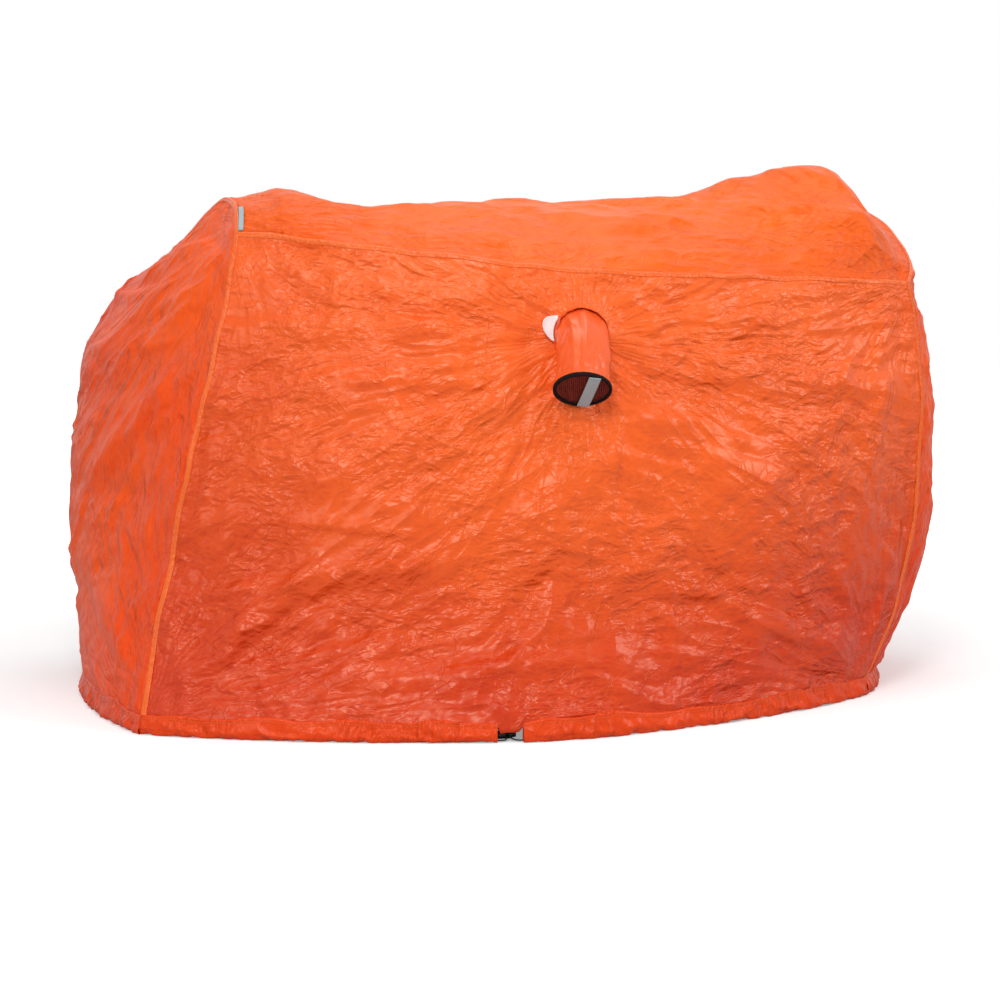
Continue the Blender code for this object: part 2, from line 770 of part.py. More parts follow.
def turned_along_x(profile, centre):
    # Rings from (x, radius) pairs
    rings = []
    for x, radius in profile:
        rings.append(disc_ring(centre + (x, 0, 0), np.array([0, 1.0, 0]), np.array([0, 0, 1.0]), radius, LOCK_SIDES))
    return solid_from_rings(rings)


def slot_cutter(name, left, right, height):
    # A round-ended slot through the lock for both cords
    radius = height / 2 / math.cos(math.pi / 16)
    centre = lock_centre()
    outline = []
    for k in range(9):
        turn = -math.pi / 2 + math.pi * k / 8
        outline.append((right - height / 2 + radius * math.cos(turn), radius * math.sin(turn)))
    for k in range(9):
        turn = math.pi / 2 + math.pi * k / 8
        outline.append((left + height / 2 + radius * math.cos(turn), radius * math.sin(turn)))
    rings = [[centre + (x, y, z) for x, z in outline] for y in (-LOCK_DIAMETER, LOCK_DIAMETER)]
    return make_cutter(name, *solid_from_rings(rings))


def make_lock():
    centre = lock_centre()
    outer = LOCK_DIAMETER / 2
    bore = outer - LOCK_WALL
    right = LOCK_BUTTON_SIDE
    left = right - LOCK_LENGTH
    floor = left + LOCK_END_WALL
    half_slot = (TAIL_SPACING + CORD_DIAMETER) / 2 + CLEARANCE
    slot_height = CORD_DIAMETER + 2 * CLEARANCE
    barrel_profile = [
        (left, outer - LOCK_CHAMFER),
        (left + LOCK_CHAMFER, outer),
        (right - LOCK_CHAMFER / 2, outer),
        (right, outer - LOCK_CHAMFER / 2),
        (right, bore),
        (floor, bore),
    ]
    barrel = make_object("lock_barrel", *turned_along_x(barrel_profile, centre), BLACK, 0.42)
    cut(barrel, slot_cutter("barrel_slot", -half_slot, half_slot, slot_height))
    tip = right + BUTTON_STAND_OUT
    shaft = bore - CLEARANCE
    inner_end = -BUTTON_INNER_END
    plunger_profile = [
        (inner_end - BUTTON_BOSS_LENGTH, BUTTON_BOSS_RADIUS),
        (inner_end, BUTTON_BOSS_RADIUS),
        (inner_end, shaft),
        (tip - BUTTON_CHAMFER, shaft),
        (tip, shaft - BUTTON_CHAMFER),
    ]
    plunger = make_object("lock_plunger", *turned_along_x(plunger_profile, centre), BLACK, 0.36)
    cut(plunger, slot_cutter("plunger_slot", -half_slot, half_slot + BUTTON_TRAVEL, slot_height))
    make_spring(centre, floor + CLEARANCE, inner_end - CLEARANCE)


def make_spring(centre, left, right):
    count = SPRING_TURNS * SPRING_TURN_POINTS + 1
    start = left + SPRING_WIRE / 2
    run = right - left - SPRING_WIRE
    points = []
    for k in range(count):
        turn = 2 * math.pi * k / SPRING_TURN_POINTS
        x = start + run * k / (count - 1)
        radius = SPRING_DIAMETER / 2
        points.append(centre + (x, radius * math.cos(turn), radius * math.sin(turn)))
    make_cord_curve("lock_spring", points, SPRING_WIRE, 1, STEEL, 0.3, 1.0)


# Vent

def vent_frame():
    # Centre of the hole, the way right, the way up the wall and the way out
    points, normals, _, _ = surface("front", np.array([[VENT_ALONG]]), np.array([[VENT_UP]]))
    out = unit(np.array([0.0, normals[0, 0, 1], normals[0, 0, 2]]))
    right = np.array([1.0, 0.0, 0.0])
    return points[0, 0], right, np.cross(out, right), out


def washer(centre, right, top, out, inner, outer, start, depth):
    shells = []
    for radius in (outer, inner):
        shells.append([disc_ring(centre + out * step, right, top, radius, VENT_SIDES)
                       for step in (start, start + depth)])
    return pipe_from_rings(*shells)


def tip_frame():
    # Centre of the sleeve's mouth, the way right, the way up across it and the way it points
    root, right, rise, out = vent_frame()
    slope = math.radians(VENT_TIP_SLOPE)
    swing = math.radians(VENT_TIP_SWING)
    level = np.array([-math.sin(swing), -math.cos(swing), 0.0])
    lift = np.array([0.0, 0.0, 1.0])
    points_to = math.cos(slope) * level - math.sin(slope) * lift
    top = math.sin(slope) * level + math.cos(slope) * lift
    reach = VENT_TIP_RADIUS + BINDING_OUTER_EXTRA
    away = VENT_WALL_CLEARANCE + VENT_DROP * (lift @ out) + reach * (top @ out)
    centre = root + level * away / (level @ out) - lift * VENT_DROP
    return centre, np.cross(lift, level), top, points_to


def make_vent():
    root, right, rise, out = vent_frame()
    collar_outer = VENT_RADIUS + COLLAR_OUTER_EXTRA
    front = make_panel("front", ORANGE)
    hole = [disc_ring(root + out * step, right, rise, collar_outer + CLEARANCE, VENT_SIDES)
            for step in (-VENT_CUT_REACH, VENT_CUT_REACH)]
    cut(front, make_cutter("vent_hole", *solid_from_rings(hole)))
    collar = washer(root, right, rise, out, collar_outer - COLLAR_WIDTH, collar_outer,
                    -COLLAR_DEPTH / 2, COLLAR_DEPTH)
    make_object("vent_collar", *collar, DEEP_ORANGE, 0.45)
    make_sleeve(root, out)
    make_mouth()
    make_label()


def make_sleeve(root, out):
    # The sleeve droops from a ring on the wall to its mouth; its pivot is the top of the first ring
    tip, _, _, tip_out = tip_frame()
    start = root + out * (COLLAR_DEPTH / 2 + CLEARANCE)
    reach = np.linalg.norm(tip - start)
    leaving = start + unit(out + tip_out) * reach * SLEEVE_LEAVING
    arriving = tip - tip_out * reach * SLEEVE_ARRIVING
    outer = []
    inner = []
    for k in range(VENT_RINGS):
        t = k / (VENT_RINGS - 1)
        centre = ((1 - t) ** 3 * start + 3 * (1 - t) ** 2 * t * leaving
                  + 3 * (1 - t) * t**2 * arriving + t**3 * tip)
        facing = unit((1 - t) * out + t * tip_out)
        side = unit(np.cross((0, 0, 1), facing))
        top = np.cross(facing, side)
        radius = VENT_RADIUS + (VENT_TIP_RADIUS - VENT_RADIUS) * t
        outer.append(disc_ring(centre, side, top, radius, VENT_SIDES))
        inner.append(disc_ring(centre, side, top, radius - CLOTH_THICKNESS, VENT_SIDES))
    sleeve = make_object("vent_sleeve", *pipe_from_rings(outer, inner), ORANGE, 0.36)
    set_origin(sleeve, vent_hinge())


def vent_hinge():
    root, _, rise, out = vent_frame()
    return root + rise * VENT_RADIUS + out * (COLLAR_DEPTH / 2 + CLEARANCE)


def make_mouth():
    # Bound edge, net and webbing strap at the sleeve's mouth
    tip, right, top, out = tip_frame()
    binding_outer = VENT_TIP_RADIUS + BINDING_OUTER_EXTRA
    binding_inner = binding_outer - BINDING_WIDTH
    binding = washer(tip, right, top, out, binding_inner, binding_outer, CLEARANCE, BINDING_DEPTH)
    face = CLEARANCE + BINDING_DEPTH
    pieces = [
        make_object("mesh_binding", *binding, BLACK, 0.6),
        make_net(tip + out * (face - MESH_RECESS), right, top, out, binding_inner - CLEARANCE),
        make_strap(tip + out * (face + CLEARANCE), right, top, out, binding_outer),
    ]
    for piece in pieces:
        set_origin(piece, vent_hinge())


def make_net(centre, right, top, out, radius):
    # A round net of square gaps
    count = math.ceil(radius / MESH_PITCH) + 1
    lines = []
    for k in range(-count, count + 1):
        lines += [k * MESH_PITCH - MESH_THREAD / 2, k * MESH_PITCH + MESH_THREAD / 2]
    work = bmesh.new()
    grid = [[work.verts.new((x, y, 0)) for y in lines] for x in lines]
    for i in range(len(lines) - 1):
        for j in range(len(lines) - 1):
            corners = (grid[i][j], grid[i + 1][j], grid[i + 1][j + 1], grid[i][j + 1])
            furthest = max(math.hypot(v.co.x, v.co.y) for v in corners)
            gap = i % 2 == 1 and j % 2 == 1
            if not gap or furthest > radius - MESH_RIM:
                work.faces.new(corners)
    for k in range(VENT_SIDES):
        turn = (k + 0.5) * 2 * math.pi / VENT_SIDES
        way = (math.cos(turn), math.sin(turn), 0)
        flat = radius * math.cos(math.pi / VENT_SIDES)
        everything = work.verts[:] + work.edges[:] + work.faces[:]
        bmesh.ops.bisect_plane(work, geom=everything, dist=1e-7, plane_co=(way[0] * flat, way[1] * flat, 0),
                               plane_no=way, clear_outer=True)
    loose = [v for v in work.verts if not v.link_faces]
    bmesh.ops.delete(work, geom=loose, context="VERTS")
    bmesh.ops.remove_doubles(work, verts=work.verts, dist=1e-6)
    raised = bmesh.ops.extrude_face_region(work, geom=work.faces[:], use_keep_orig=True)
    lifted = [v for v in raised["geom"] if isinstance(v, bmesh.types.BMVert)]
    bmesh.ops.translate(work, verts=lifted, vec=(0, 0, -MESH_THICKNESS))
    work.verts.index_update()
    vertices = [centre + right * v.co.x + top * v.co.y + out * v.co.z for v in work.verts]
    faces = [tuple(v.index for v in face.verts) for face in work.faces]
    work.free()
    return make_object("vent_mesh", vertices, faces, MAROON, 0.8, smooth=False)


def make_strap(centre, right, top, out, reach):
    # Webbing across the mouth, leaning over to the right at its upper end
    turn = math.radians(STRAP_TURN)
    along = math.cos(turn) * top + math.sin(turn) * right
    across = math.cos(turn) * right - math.sin(turn) * top
    half = math.sqrt(reach**2 - (STRAP_OFFSET + STRAP_WIDTH / 2) ** 2)
    rings = []
    for k in range(9):
        share = k / 4 - 1
        low = STRAP_BOW * (1 - share**2)
        middle = centre + along * half * share + across * STRAP_OFFSET
        section = [(-STRAP_WIDTH / 2, low), (STRAP_WIDTH / 2, low),
                   (STRAP_WIDTH / 2, low + STRAP_THICKNESS), (-STRAP_WIDTH / 2, low + STRAP_THICKNESS)]
        rings.append([middle + across * a + out * b for a, b in section])
    return make_object("grab_strap", *solid_from_rings(rings), GREY_WEBBING, 0.7)


def label_frame():
    # The label's sewn edge on the collar, the way it leaves it and the line of its stitching
    root, right, rise, out = vent_frame()
    turn = math.radians(LABEL_TURN)
    away = math.cos(turn) * right + math.sin(turn) * rise
    line = np.cross(out, away)
    reach = VENT_RADIUS + COLLAR_OUTER_EXTRA + CLEARANCE
    height = COLLAR_DEPTH / 2 - LABEL_THICKNESS / 2
    return root + away * reach + out * height, away, line, out


def make_label():
    edge, away, line, out = label_frame()
    steps = 7
    rings = []
    bend = math.radians(LABEL_CURL)
    radius = LABEL_LENGTH / bend
    for k in range(steps + 1):
        turn = bend * k / steps
        middle = edge + away * radius * math.sin(turn) + out * radius * (1 - math.cos(turn))
        thick = (out * math.cos(turn) - away * math.sin(turn)) * LABEL_THICKNESS / 2
        wide = line * LABEL_HEIGHT / 2
        rings.append([middle - thick - wide, middle - thick + wide, middle + thick + wide, middle + thick - wide])
    label = make_object("care_label", *solid_from_rings(rings), WHITE, 0.6)
    set_origin(label, edge)


# Hang loop

def roof_point(beside, back):
    # A point on the roof's outer facets, measured from its front left corner along its left seam
    outer, _ = panel_faces("roof")
    steps_back = np.linalg.norm(np.diff(outer[0], axis=0), axis=1)
    reached = np.concatenate([[0.0], np.cumsum(steps_back)])
    j = int(np.searchsorted(reached, back, side="right")) - 1
    t = (back - reached[j]) / steps_back[j]
    s = beside / np.linalg.norm(outer[1, j] - outer[0, j])
    corners = outer[0, j], outer[1, j], outer[1, j + 1], outer[0, j + 1]
    point = ((1 - s) * (1 - t) * corners[0] + s * (1 - t) * corners[1] + s * t * corners[2]
             + (1 - s) * t * corners[3])
    across = unit(corners[1] + corners[2] - corners[0] - corners[3])
    onward = unit(corners[3] + corners[2] - corners[0] - corners[1])
    return point, unit(np.cross(across, onward))


def make_hang_loop():
    steps = 7
    base = []
    facing = []
    for k in range(steps + 1):
        point, normal = roof_point(LOOP_BESIDE_SEAM, LOOP_START + LOOP_LENGTH * k / steps)
        base.append(point)
        facing.append(normal)
    base = np.array(base)
    facing = np.array(facing)
    onward = unit(np.gradient(base, axis=0))
    across = unit(np.cross(facing, onward))
    low = CLEARANCE + LOOP_LIFT
    heights = (low, low + LOOP_THICKNESS, low + LOOP_THICKNESS + LOOP_EYE, low + 2 * LOOP_THICKNESS + LOOP_EYE)
    outline = [(k, heights[0]) for k in range(steps + 1)]
    outline += [(k, heights[3]) for k in range(steps, -1, -1)]
    outline += [(k, heights[2]) for k in range(steps)]
    outline += [(k, heights[1]) for k in range(steps - 1, -1, -1)]
    edges = []
    for hand in (-1, 1):
        edges.append([base[k] + facing[k] * h + across[k] * hand * LOOP_WIDTH / 2 for k, h in outline])
    make_object("hang_loop", *solid_from_rings(edges), GREY_WEBBING, 0.6)


def clear_scene():
    for item in list(bpy.data.objects):
        bpy.data.objects.remove(item, do_unlink=True)


def main():
    clear_scene()
    make_vent()
    for name, colour in (("back", ORANGE), ("left", DEEP_ORANGE), ("right", ORANGE), ("roof", ORANGE)):
        make_panel(name, colour)
    for corner in HEM_CORNERS:
        make_corner_seam(corner)
    for side in SIDES:
        make_roof_seam(side)
    make_hems()
    make_hem_cord()
    make_tails()
    make_knot()
    make_lock()
    make_hang_loop()


main()
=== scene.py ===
import math

import bmesh
import bpy
import numpy as np
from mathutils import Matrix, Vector


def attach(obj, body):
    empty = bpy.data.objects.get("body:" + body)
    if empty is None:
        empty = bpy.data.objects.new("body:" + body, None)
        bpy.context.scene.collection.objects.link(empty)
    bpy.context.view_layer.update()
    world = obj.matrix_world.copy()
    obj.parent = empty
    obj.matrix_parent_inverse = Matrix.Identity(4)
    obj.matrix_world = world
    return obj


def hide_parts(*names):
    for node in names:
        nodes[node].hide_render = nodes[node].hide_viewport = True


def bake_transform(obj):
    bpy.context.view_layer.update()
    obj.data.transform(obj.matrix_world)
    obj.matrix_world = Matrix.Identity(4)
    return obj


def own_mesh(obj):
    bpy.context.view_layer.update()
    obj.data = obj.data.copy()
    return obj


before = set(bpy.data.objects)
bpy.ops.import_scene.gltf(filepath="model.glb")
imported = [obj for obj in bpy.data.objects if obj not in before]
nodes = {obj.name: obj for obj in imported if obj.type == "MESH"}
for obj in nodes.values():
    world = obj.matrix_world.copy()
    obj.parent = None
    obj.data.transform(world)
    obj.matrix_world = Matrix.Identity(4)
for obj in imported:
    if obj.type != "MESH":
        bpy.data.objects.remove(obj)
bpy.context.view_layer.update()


# Camera, light and floor

cameraLook = {
    "place": (-1.095, -4.096, 0.750),
    "tilt": 84.432,  # degrees up from straight down
    "turn": -14.5,
    "lens": 83.09,
    "sensor": 36.0,
}

lightLook = {
    "sky": 0.34,
    "lamps": {  # place, what it points at, size in metres, power in watts
        "keyLamp": ((-1.3, -3.3, 3.0), (0.0, -0.3, 0.5), 1.2, 74.0),
        "topLamp": ((0.2, 0.2, 4.2), (0.0, 0.0, 0.6), 2.4, 56.0),
        "leftLamp": ((-3.4, -2.6, 2.3), (-0.2, 0.0, 0.5), 1.9, 38.0),
        "rightLamp": ((3.1, -2.0, 2.6), (0.4, -0.2, 0.6), 1.4, 52.0),
    },
}

floorLook = {
    "half": 12.0, "under": 0.0002,  # metres
    "white": (0.74, 0.74, 0.74, 1.0), "roughness": 0.9, "shine": 0.1,
    "glow": (0.33, 1.00),  # seen by the camera alone: near the bag and far from it
    "far": (0.9, 2.6),  # how far from the bag the glow starts to grow and is full, in metres
}


def makeCamera(look):
    data = bpy.data.cameras.new("photoCamera")
    data.lens = look["lens"]
    data.sensor_width = look["sensor"]
    data.clip_end = 60
    camera = bpy.data.objects.new("photoCamera", data)
    camera.location = look["place"]
    camera.rotation_euler = (math.radians(look["tilt"]), 0, math.radians(look["turn"]))
    bpy.context.scene.collection.objects.link(camera)
    bpy.context.scene.camera = camera
    bpy.context.scene.view_settings.view_transform = "Standard"


def makeLamps(look):
    for name, (spot, target, size, power) in look["lamps"].items():
        data = bpy.data.lights.new(name, "AREA")
        data.shape = "SQUARE"
        data.size = size
        data.energy = power
        lamp = bpy.data.objects.new(name, data)
        lamp.location = spot
        lamp.rotation_euler = (Vector(spot) - Vector(target)).to_track_quat("Z", "Y").to_euler()
        bpy.context.scene.collection.objects.link(lamp)


# Shader maths

class Wire:
    # A node's output. Sums and products of wires add their Math nodes.
    def __init__(self, tree, socket=None):
        self.tree = tree
        self.socket = socket

    def node(self, kind, values=None, output=0, **settings):
        # Any other node: its type, its sockets' values or wires, which output, its settings
        made = self.tree.nodes.new(kind)
        for name, value in settings.items():
            setattr(made, name, value)
        for name, value in (values or {}).items():
            if isinstance(value, Wire):
                self.tree.links.new(value.socket, made.inputs[name])
            else:
                made.inputs[name].default_value = value
        return Wire(self.tree, made.outputs[output] if len(made.outputs) else None)

    def math(self, operation, *values, clamp=False):
        values = dict(enumerate((self, *values)))
        return self.node("ShaderNodeMath", values, operation=operation, use_clamp=clamp)

    def __add__(self, other):
        return self.math("ADD", other)

    def __sub__(self, other):
        return self.math("SUBTRACT", other)

    def __mul__(self, other):
        return self.math("MULTIPLY", other)

    def steps(self, low, high):
        # 0 below low, 1 above high, smooth in between
        values = {"Value": self, "From Min": low, "From Max": high}
        return self.node("ShaderNodeMapRange", values, interpolation_type="SMOOTHSTEP")

    def vector(self, operation, *values, output=0):
        values = dict(enumerate((self, *values)))
        return self.node("ShaderNodeVectorMath", values, output, operation=operation)

    def stretched(self, factors):
        return self.vector("MULTIPLY", factors)

    def shifted(self, other):
        return self.vector("ADD", other)

    def scaled(self, factor):
        return self.vector("MULTIPLY", (factor, factor, factor))

    def length(self):
        return self.vector("LENGTH", output=1)

    def unit(self):
        return self.vector("NORMALIZE")

    def other(self, name):
        # Another output of the node that this wire comes from
        return Wire(self.tree, self.socket.node.outputs[name])

    def xy(self):
        x = self.node("ShaderNodeSeparateXYZ", {0: self})
        return x, x.other(1)

    def noise(self, scale, detail=2.0, output=0):
        values = {"Vector": self, "Scale": scale, "Detail": detail}
        return self.node("ShaderNodeTexNoise", values, output)

    def mottled(self, scale, share, detail=2.0):
        # Noise round 0, share from its least to its most
        return self.noise(scale, detail) * share - share / 2

    def lines(self, scale):
        # How far from the nearest line of a net of straight lines, in units of its meshes
        values = {"Vector": self, "Scale": scale}
        return self.node("ShaderNodeTexVoronoi", values, feature="DISTANCE_TO_EDGE")

    def ridges(self, scale=1.0):
        # Sharp crests with smooth hollows in between
        middle = self.noise(scale, 0.0) - 0.5
        return middle.math("ABSOLUTE") * -1.0

    def colours(self, low, high):
        # From one colour to another as this wire goes from 0 to 1
        return self.node("ShaderNodeMix", {0: self, 6: low, 7: high}, 2, data_type="RGBA")


def newMaterial(name, **constants):
    # A material and a first wire in it; constants go straight on the shader's sockets
    material = bpy.data.materials.new(name)
    material.use_nodes = True
    shader = material.node_tree.nodes["Principled BSDF"]
    for socket, value in constants.items():
        shader.inputs[socket.replace("_", " ")].default_value = value
    return material, Wire(material.node_tree), shader


def plug(wire, shader, socket):
    wire.tree.links.new(wire.socket, shader.inputs[socket])


def bumped(height, shader, distance):
    # Height in units of distance, in metres
    plug(height.node("ShaderNodeBump", {"Height": height, "Distance": distance}), shader, "Normal")


def makeFloor(look):
    half = look["half"]
    mesh = bpy.data.meshes.new("floor")
    corners = [(-half, -half, 0), (half, -half, 0), (half, half, 0), (-half, half, 0)]
    mesh.from_pydata(corners, [], [(0, 1, 2, 3)])
    floor = bpy.data.objects.new("floor", mesh)
    floor.location.z = -look["under"]
    bpy.context.scene.collection.objects.link(floor)
    white = (1.0, 1.0, 1.0, 1.0)
    material, wire, shader = newMaterial("paleFloor", Base_Color=look["white"], Roughness=look["roughness"],
                                         Specular_IOR_Level=look["shine"], Emission_Color=white)
    away = wire.node("ShaderNodeTexCoord", output=3).length()
    near, far = look["glow"]
    seen = wire.node("ShaderNodeLightPath")
    plug(seen * (away.steps(*look["far"]) * (far - near) + near), shader, "Emission Strength")
    mesh.materials.append(material)


def makeSky(look):
    # White to the camera and in reflections, plain light otherwise
    world = bpy.data.worlds.new("studio")
    bpy.context.scene.world = world
    world.use_nodes = True
    rays = Wire(world.node_tree).node("ShaderNodeLightPath")
    shown = rays
    for ray in ("Is Glossy Ray", "Is Transmission Ray"):
        shown = shown.math("MAXIMUM", rays.other(ray))
    background = world.node_tree.nodes["Background"]
    background.inputs["Color"].default_value = (1.0, 1.0, 1.0, 1.0)
    strength = shown * (1.0 - look["sky"]) + look["sky"]
    world.node_tree.links.new(strength.socket, background.inputs["Strength"])


makeCamera(cameraLook)
makeLamps(lightLook)
makeSky(lightLook)
makeFloor(floorLook)
print("camera, lamps and floor made")


# Curves, tubes and meshes

def unit(vectors):
    return vectors / np.linalg.norm(vectors, axis=-1, keepdims=True)


def smoothCurve(points, shares):
    # Points at the given shares of one smooth curve through all the points
    points = np.asarray(points, float)
    shares = np.atleast_1d(np.asarray(shares, float))
    steps = np.linalg.norm(np.diff(points, axis=0), axis=1)
    at = np.concatenate([[0.0], np.cumsum(steps)]) / steps.sum()
    slope = np.gradient(points, at, axis=0)
    slope[0] = 2 * (points[1] - points[0]) / (at[1] - at[0]) - slope[1]
    slope[-1] = 2 * (points[-1] - points[-2]) / (at[-1] - at[-2]) - slope[-2]
    i = np.clip(np.searchsorted(at, shares, side="right") - 1, 0, len(points) - 2)
    span = (at[i + 1] - at[i])[:, None]
    s = ((shares - at[i]) / (at[i + 1] - at[i]))[:, None]
    leaving = (2 * s**3 - 3 * s**2 + 1) * points[i] + (s**3 - 2 * s**2 + s) * span * slope[i]
    arriving = (3 * s**2 - 2 * s**3) * points[i + 1] + (s**3 - s**2) * span * slope[i + 1]
    return leaving + arriving


def lengthOf(points):
    return float(np.linalg.norm(np.diff(np.asarray(points), axis=0), axis=1).sum())


def lineLength(line):
    return lengthOf(smoothCurve(line, np.linspace(0, 1, 60)))


def gradientNoise(x, y, seed):
    # Smooth noise from -1 to 1, with features about one unit across
    angle = np.random.default_rng(seed).random((64, 64)) * 2 * math.pi
    i = np.floor(x).astype(int)
    j = np.floor(y).astype(int)
    fx = x - i
    fy = y - j
    sx = fx**3 * (fx * (6 * fx - 15) + 10)
    sy = fy**3 * (fy * (6 * fy - 15) + 10)

    def corner(a, b):
        turn = angle[(i + a) % 64, (j + b) % 64]
        return np.cos(turn) * (fx - a) + np.sin(turn) * (fy - b)

    low = corner(0, 0) * (1 - sx) + corner(1, 0) * sx
    high = corner(0, 1) * (1 - sx) + corner(1, 1) * sx
    return 1.5 * (low * (1 - sy) + high * sy)


def layerFaces(columns, rows, cells=None, wrap=False):
    # Faces of a closed layer of cloth from a grid of outer points and one of inner points: both sides
    # and every rim. Cells marks the grid cells that are there, wrap joins the last column to the first.
    index = np.arange(columns * rows).reshape(columns, rows)
    if wrap:
        index = np.vstack([index, index[:1]])
    quads = np.stack([index[:-1, :-1], index[1:, :-1], index[1:, 1:], index[:-1, 1:]], axis=-1)
    quads = quads[cells] if cells is not None else quads.reshape(-1, 4)
    total = columns * rows
    starts = quads.ravel()
    ends = np.roll(quads, -1, axis=1).ravel()
    rim = ~np.isin(starts * total + ends, ends * total + starts)
    starts = starts[rim]
    ends = ends[rim]
    sides = np.stack([ends, starts, starts + total, ends + total], axis=1)
    return np.concatenate([quads, quads[:, ::-1] + total, sides])


def makeMesh(name, vertices, faces, material, uv, tone=0.5, around=None):
    # Uv and tone hold one entry for each vertex, and unused vertices are dropped. Around is the
    # distance after which v starts again on a piece that closes on itself.
    vertices = np.asarray(vertices, float).reshape(-1, 3)
    uv = np.asarray(uv, float).reshape(-1, 2)
    tone = np.broadcast_to(np.asarray(tone, float).ravel(), len(vertices))
    if isinstance(faces, np.ndarray):
        used = np.unique(faces)
        order = np.zeros(len(vertices), int)
        order[used] = np.arange(len(used))
        vertices, uv, tone, faces = vertices[used], uv[used], tone[used], order[faces].tolist()
    mesh = bpy.data.meshes.new(name)
    mesh.from_pydata(vertices.tolist(), [], faces)
    corners = np.zeros(len(mesh.loops), int)
    mesh.loops.foreach_get("vertex_index", corners)
    cornerUv = uv[corners]
    if around:
        sizes = np.zeros(len(mesh.polygons), int)
        mesh.polygons.foreach_get("loop_total", sizes)
        firsts = np.concatenate([[0], np.cumsum(sizes)[:-1]])
        most = np.repeat(np.maximum.reduceat(cornerUv[:, 1], firsts), sizes)
        cornerUv[:, 1] += around * (most - cornerUv[:, 1] > around / 2)
    mesh.uv_layers.new(name="UVMap").data.foreach_set("uv", cornerUv.ravel())
    mesh.attributes.new("tone", "FLOAT", "POINT").data.foreach_set("value", tone.astype(np.float32))
    mesh.shade_smooth()
    mesh.materials.append(material)
    piece = bpy.data.objects.new(name, mesh)
    bpy.context.scene.collection.objects.link(piece)
    return piece


def makeLayer(name, outer, inner, u, v, material, tone=0.5, cells=None, around=None):
    # A closed layer between two grids of points, with u and v in metres over the grid. One that goes
    # round has the distance round it in around, and its last column joins its first.
    columns, rows = outer.shape[:2]
    uv = np.stack(np.broadcast_arrays(u, v), axis=-1).reshape(-1, 2)
    tone = np.broadcast_to(tone, (columns, rows)).ravel()
    faces = layerFaces(columns, rows, cells, wrap=around is not None)
    return makeMesh(name, np.stack([outer, inner]), faces, material, np.concatenate([uv, uv]),
                    np.concatenate([tone, tone]), around=around)


def pathFrames(path):
    # The way along a path at each point, with a side and a top carried along it without twist
    path = np.asarray(path, float)
    ahead = unit(np.diff(path, axis=0))
    along = unit(np.concatenate([ahead[:1], ahead[:-1] + ahead[1:], ahead[-1:]]))
    anyWay = (0.31, 0.17, 0.93)  # along none of the paths
    side = unit(np.cross(along[0], anyWay))
    sides = []
    for way in along:
        side = unit(side - way * (side @ way))
        sides.append(side)
    sides = np.array(sides)
    return along, sides, np.cross(along, sides)


def ringFaces(count, sides, closed):
    # Faces between each ring of points and the next
    faces = []
    for k in range(count if closed else count - 1):
        for i in range(sides):
            a, b = k * sides, (k + 1) % count * sides
            j = (i + 1) % sides
            faces.append((a + i, a + j, b + j, b + i))
    return faces


def ringTurns(count, start=0.0):
    # Turns evenly round a ring, the first of them at -start
    return np.arange(count) * 2 * math.pi / count - start


def spokes(turn, side, top):
    # The way out at each turn from side towards top
    return np.cos(turn)[..., None] * side + np.sin(turn)[..., None] * top


def runAlong(path):
    # How far each point of a path is along it
    return np.concatenate([[0.0], np.cumsum(np.linalg.norm(np.diff(path, axis=0), axis=1))])


def tubeMesh(name, path, radius, sides, material, closed=False):
    # A round tube with UV in metres: along it, then round it
    path = np.asarray(path, float)
    if closed:
        path = np.concatenate([path, path[:1]])
    _, side, top = pathFrames(path)
    turn = ringTurns(sides)
    rings = path[:, None] + radius * spokes(turn[None], side[:, None], top[:, None])
    if closed:
        rings = rings[:-1]
    count = len(rings)
    faces = ringFaces(count, sides, closed)
    if not closed:
        faces.append(tuple(range(sides))[::-1])
        faces.append(tuple(range((count - 1) * sides, count * sides)))
    uv = np.stack(np.broadcast_arrays(runAlong(path)[:count, None], (turn * radius)[None]), axis=-1)
    return makeMesh(name, rings, faces, material, uv, around=2 * math.pi * radius)


def turnedOut(piece):
    # Makes a closed piece's faces point out
    work = bmesh.new()
    work.from_mesh(piece.data)
    bmesh.ops.recalc_face_normals(work, faces=work.faces)
    work.to_mesh(piece.data)
    work.free()
    return piece


def place(piece, body, slot, *standsFor):
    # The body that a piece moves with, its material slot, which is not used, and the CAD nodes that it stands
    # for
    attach(piece, body)
    if standsFor:
        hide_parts(*standsFor)
    return piece


# Materials

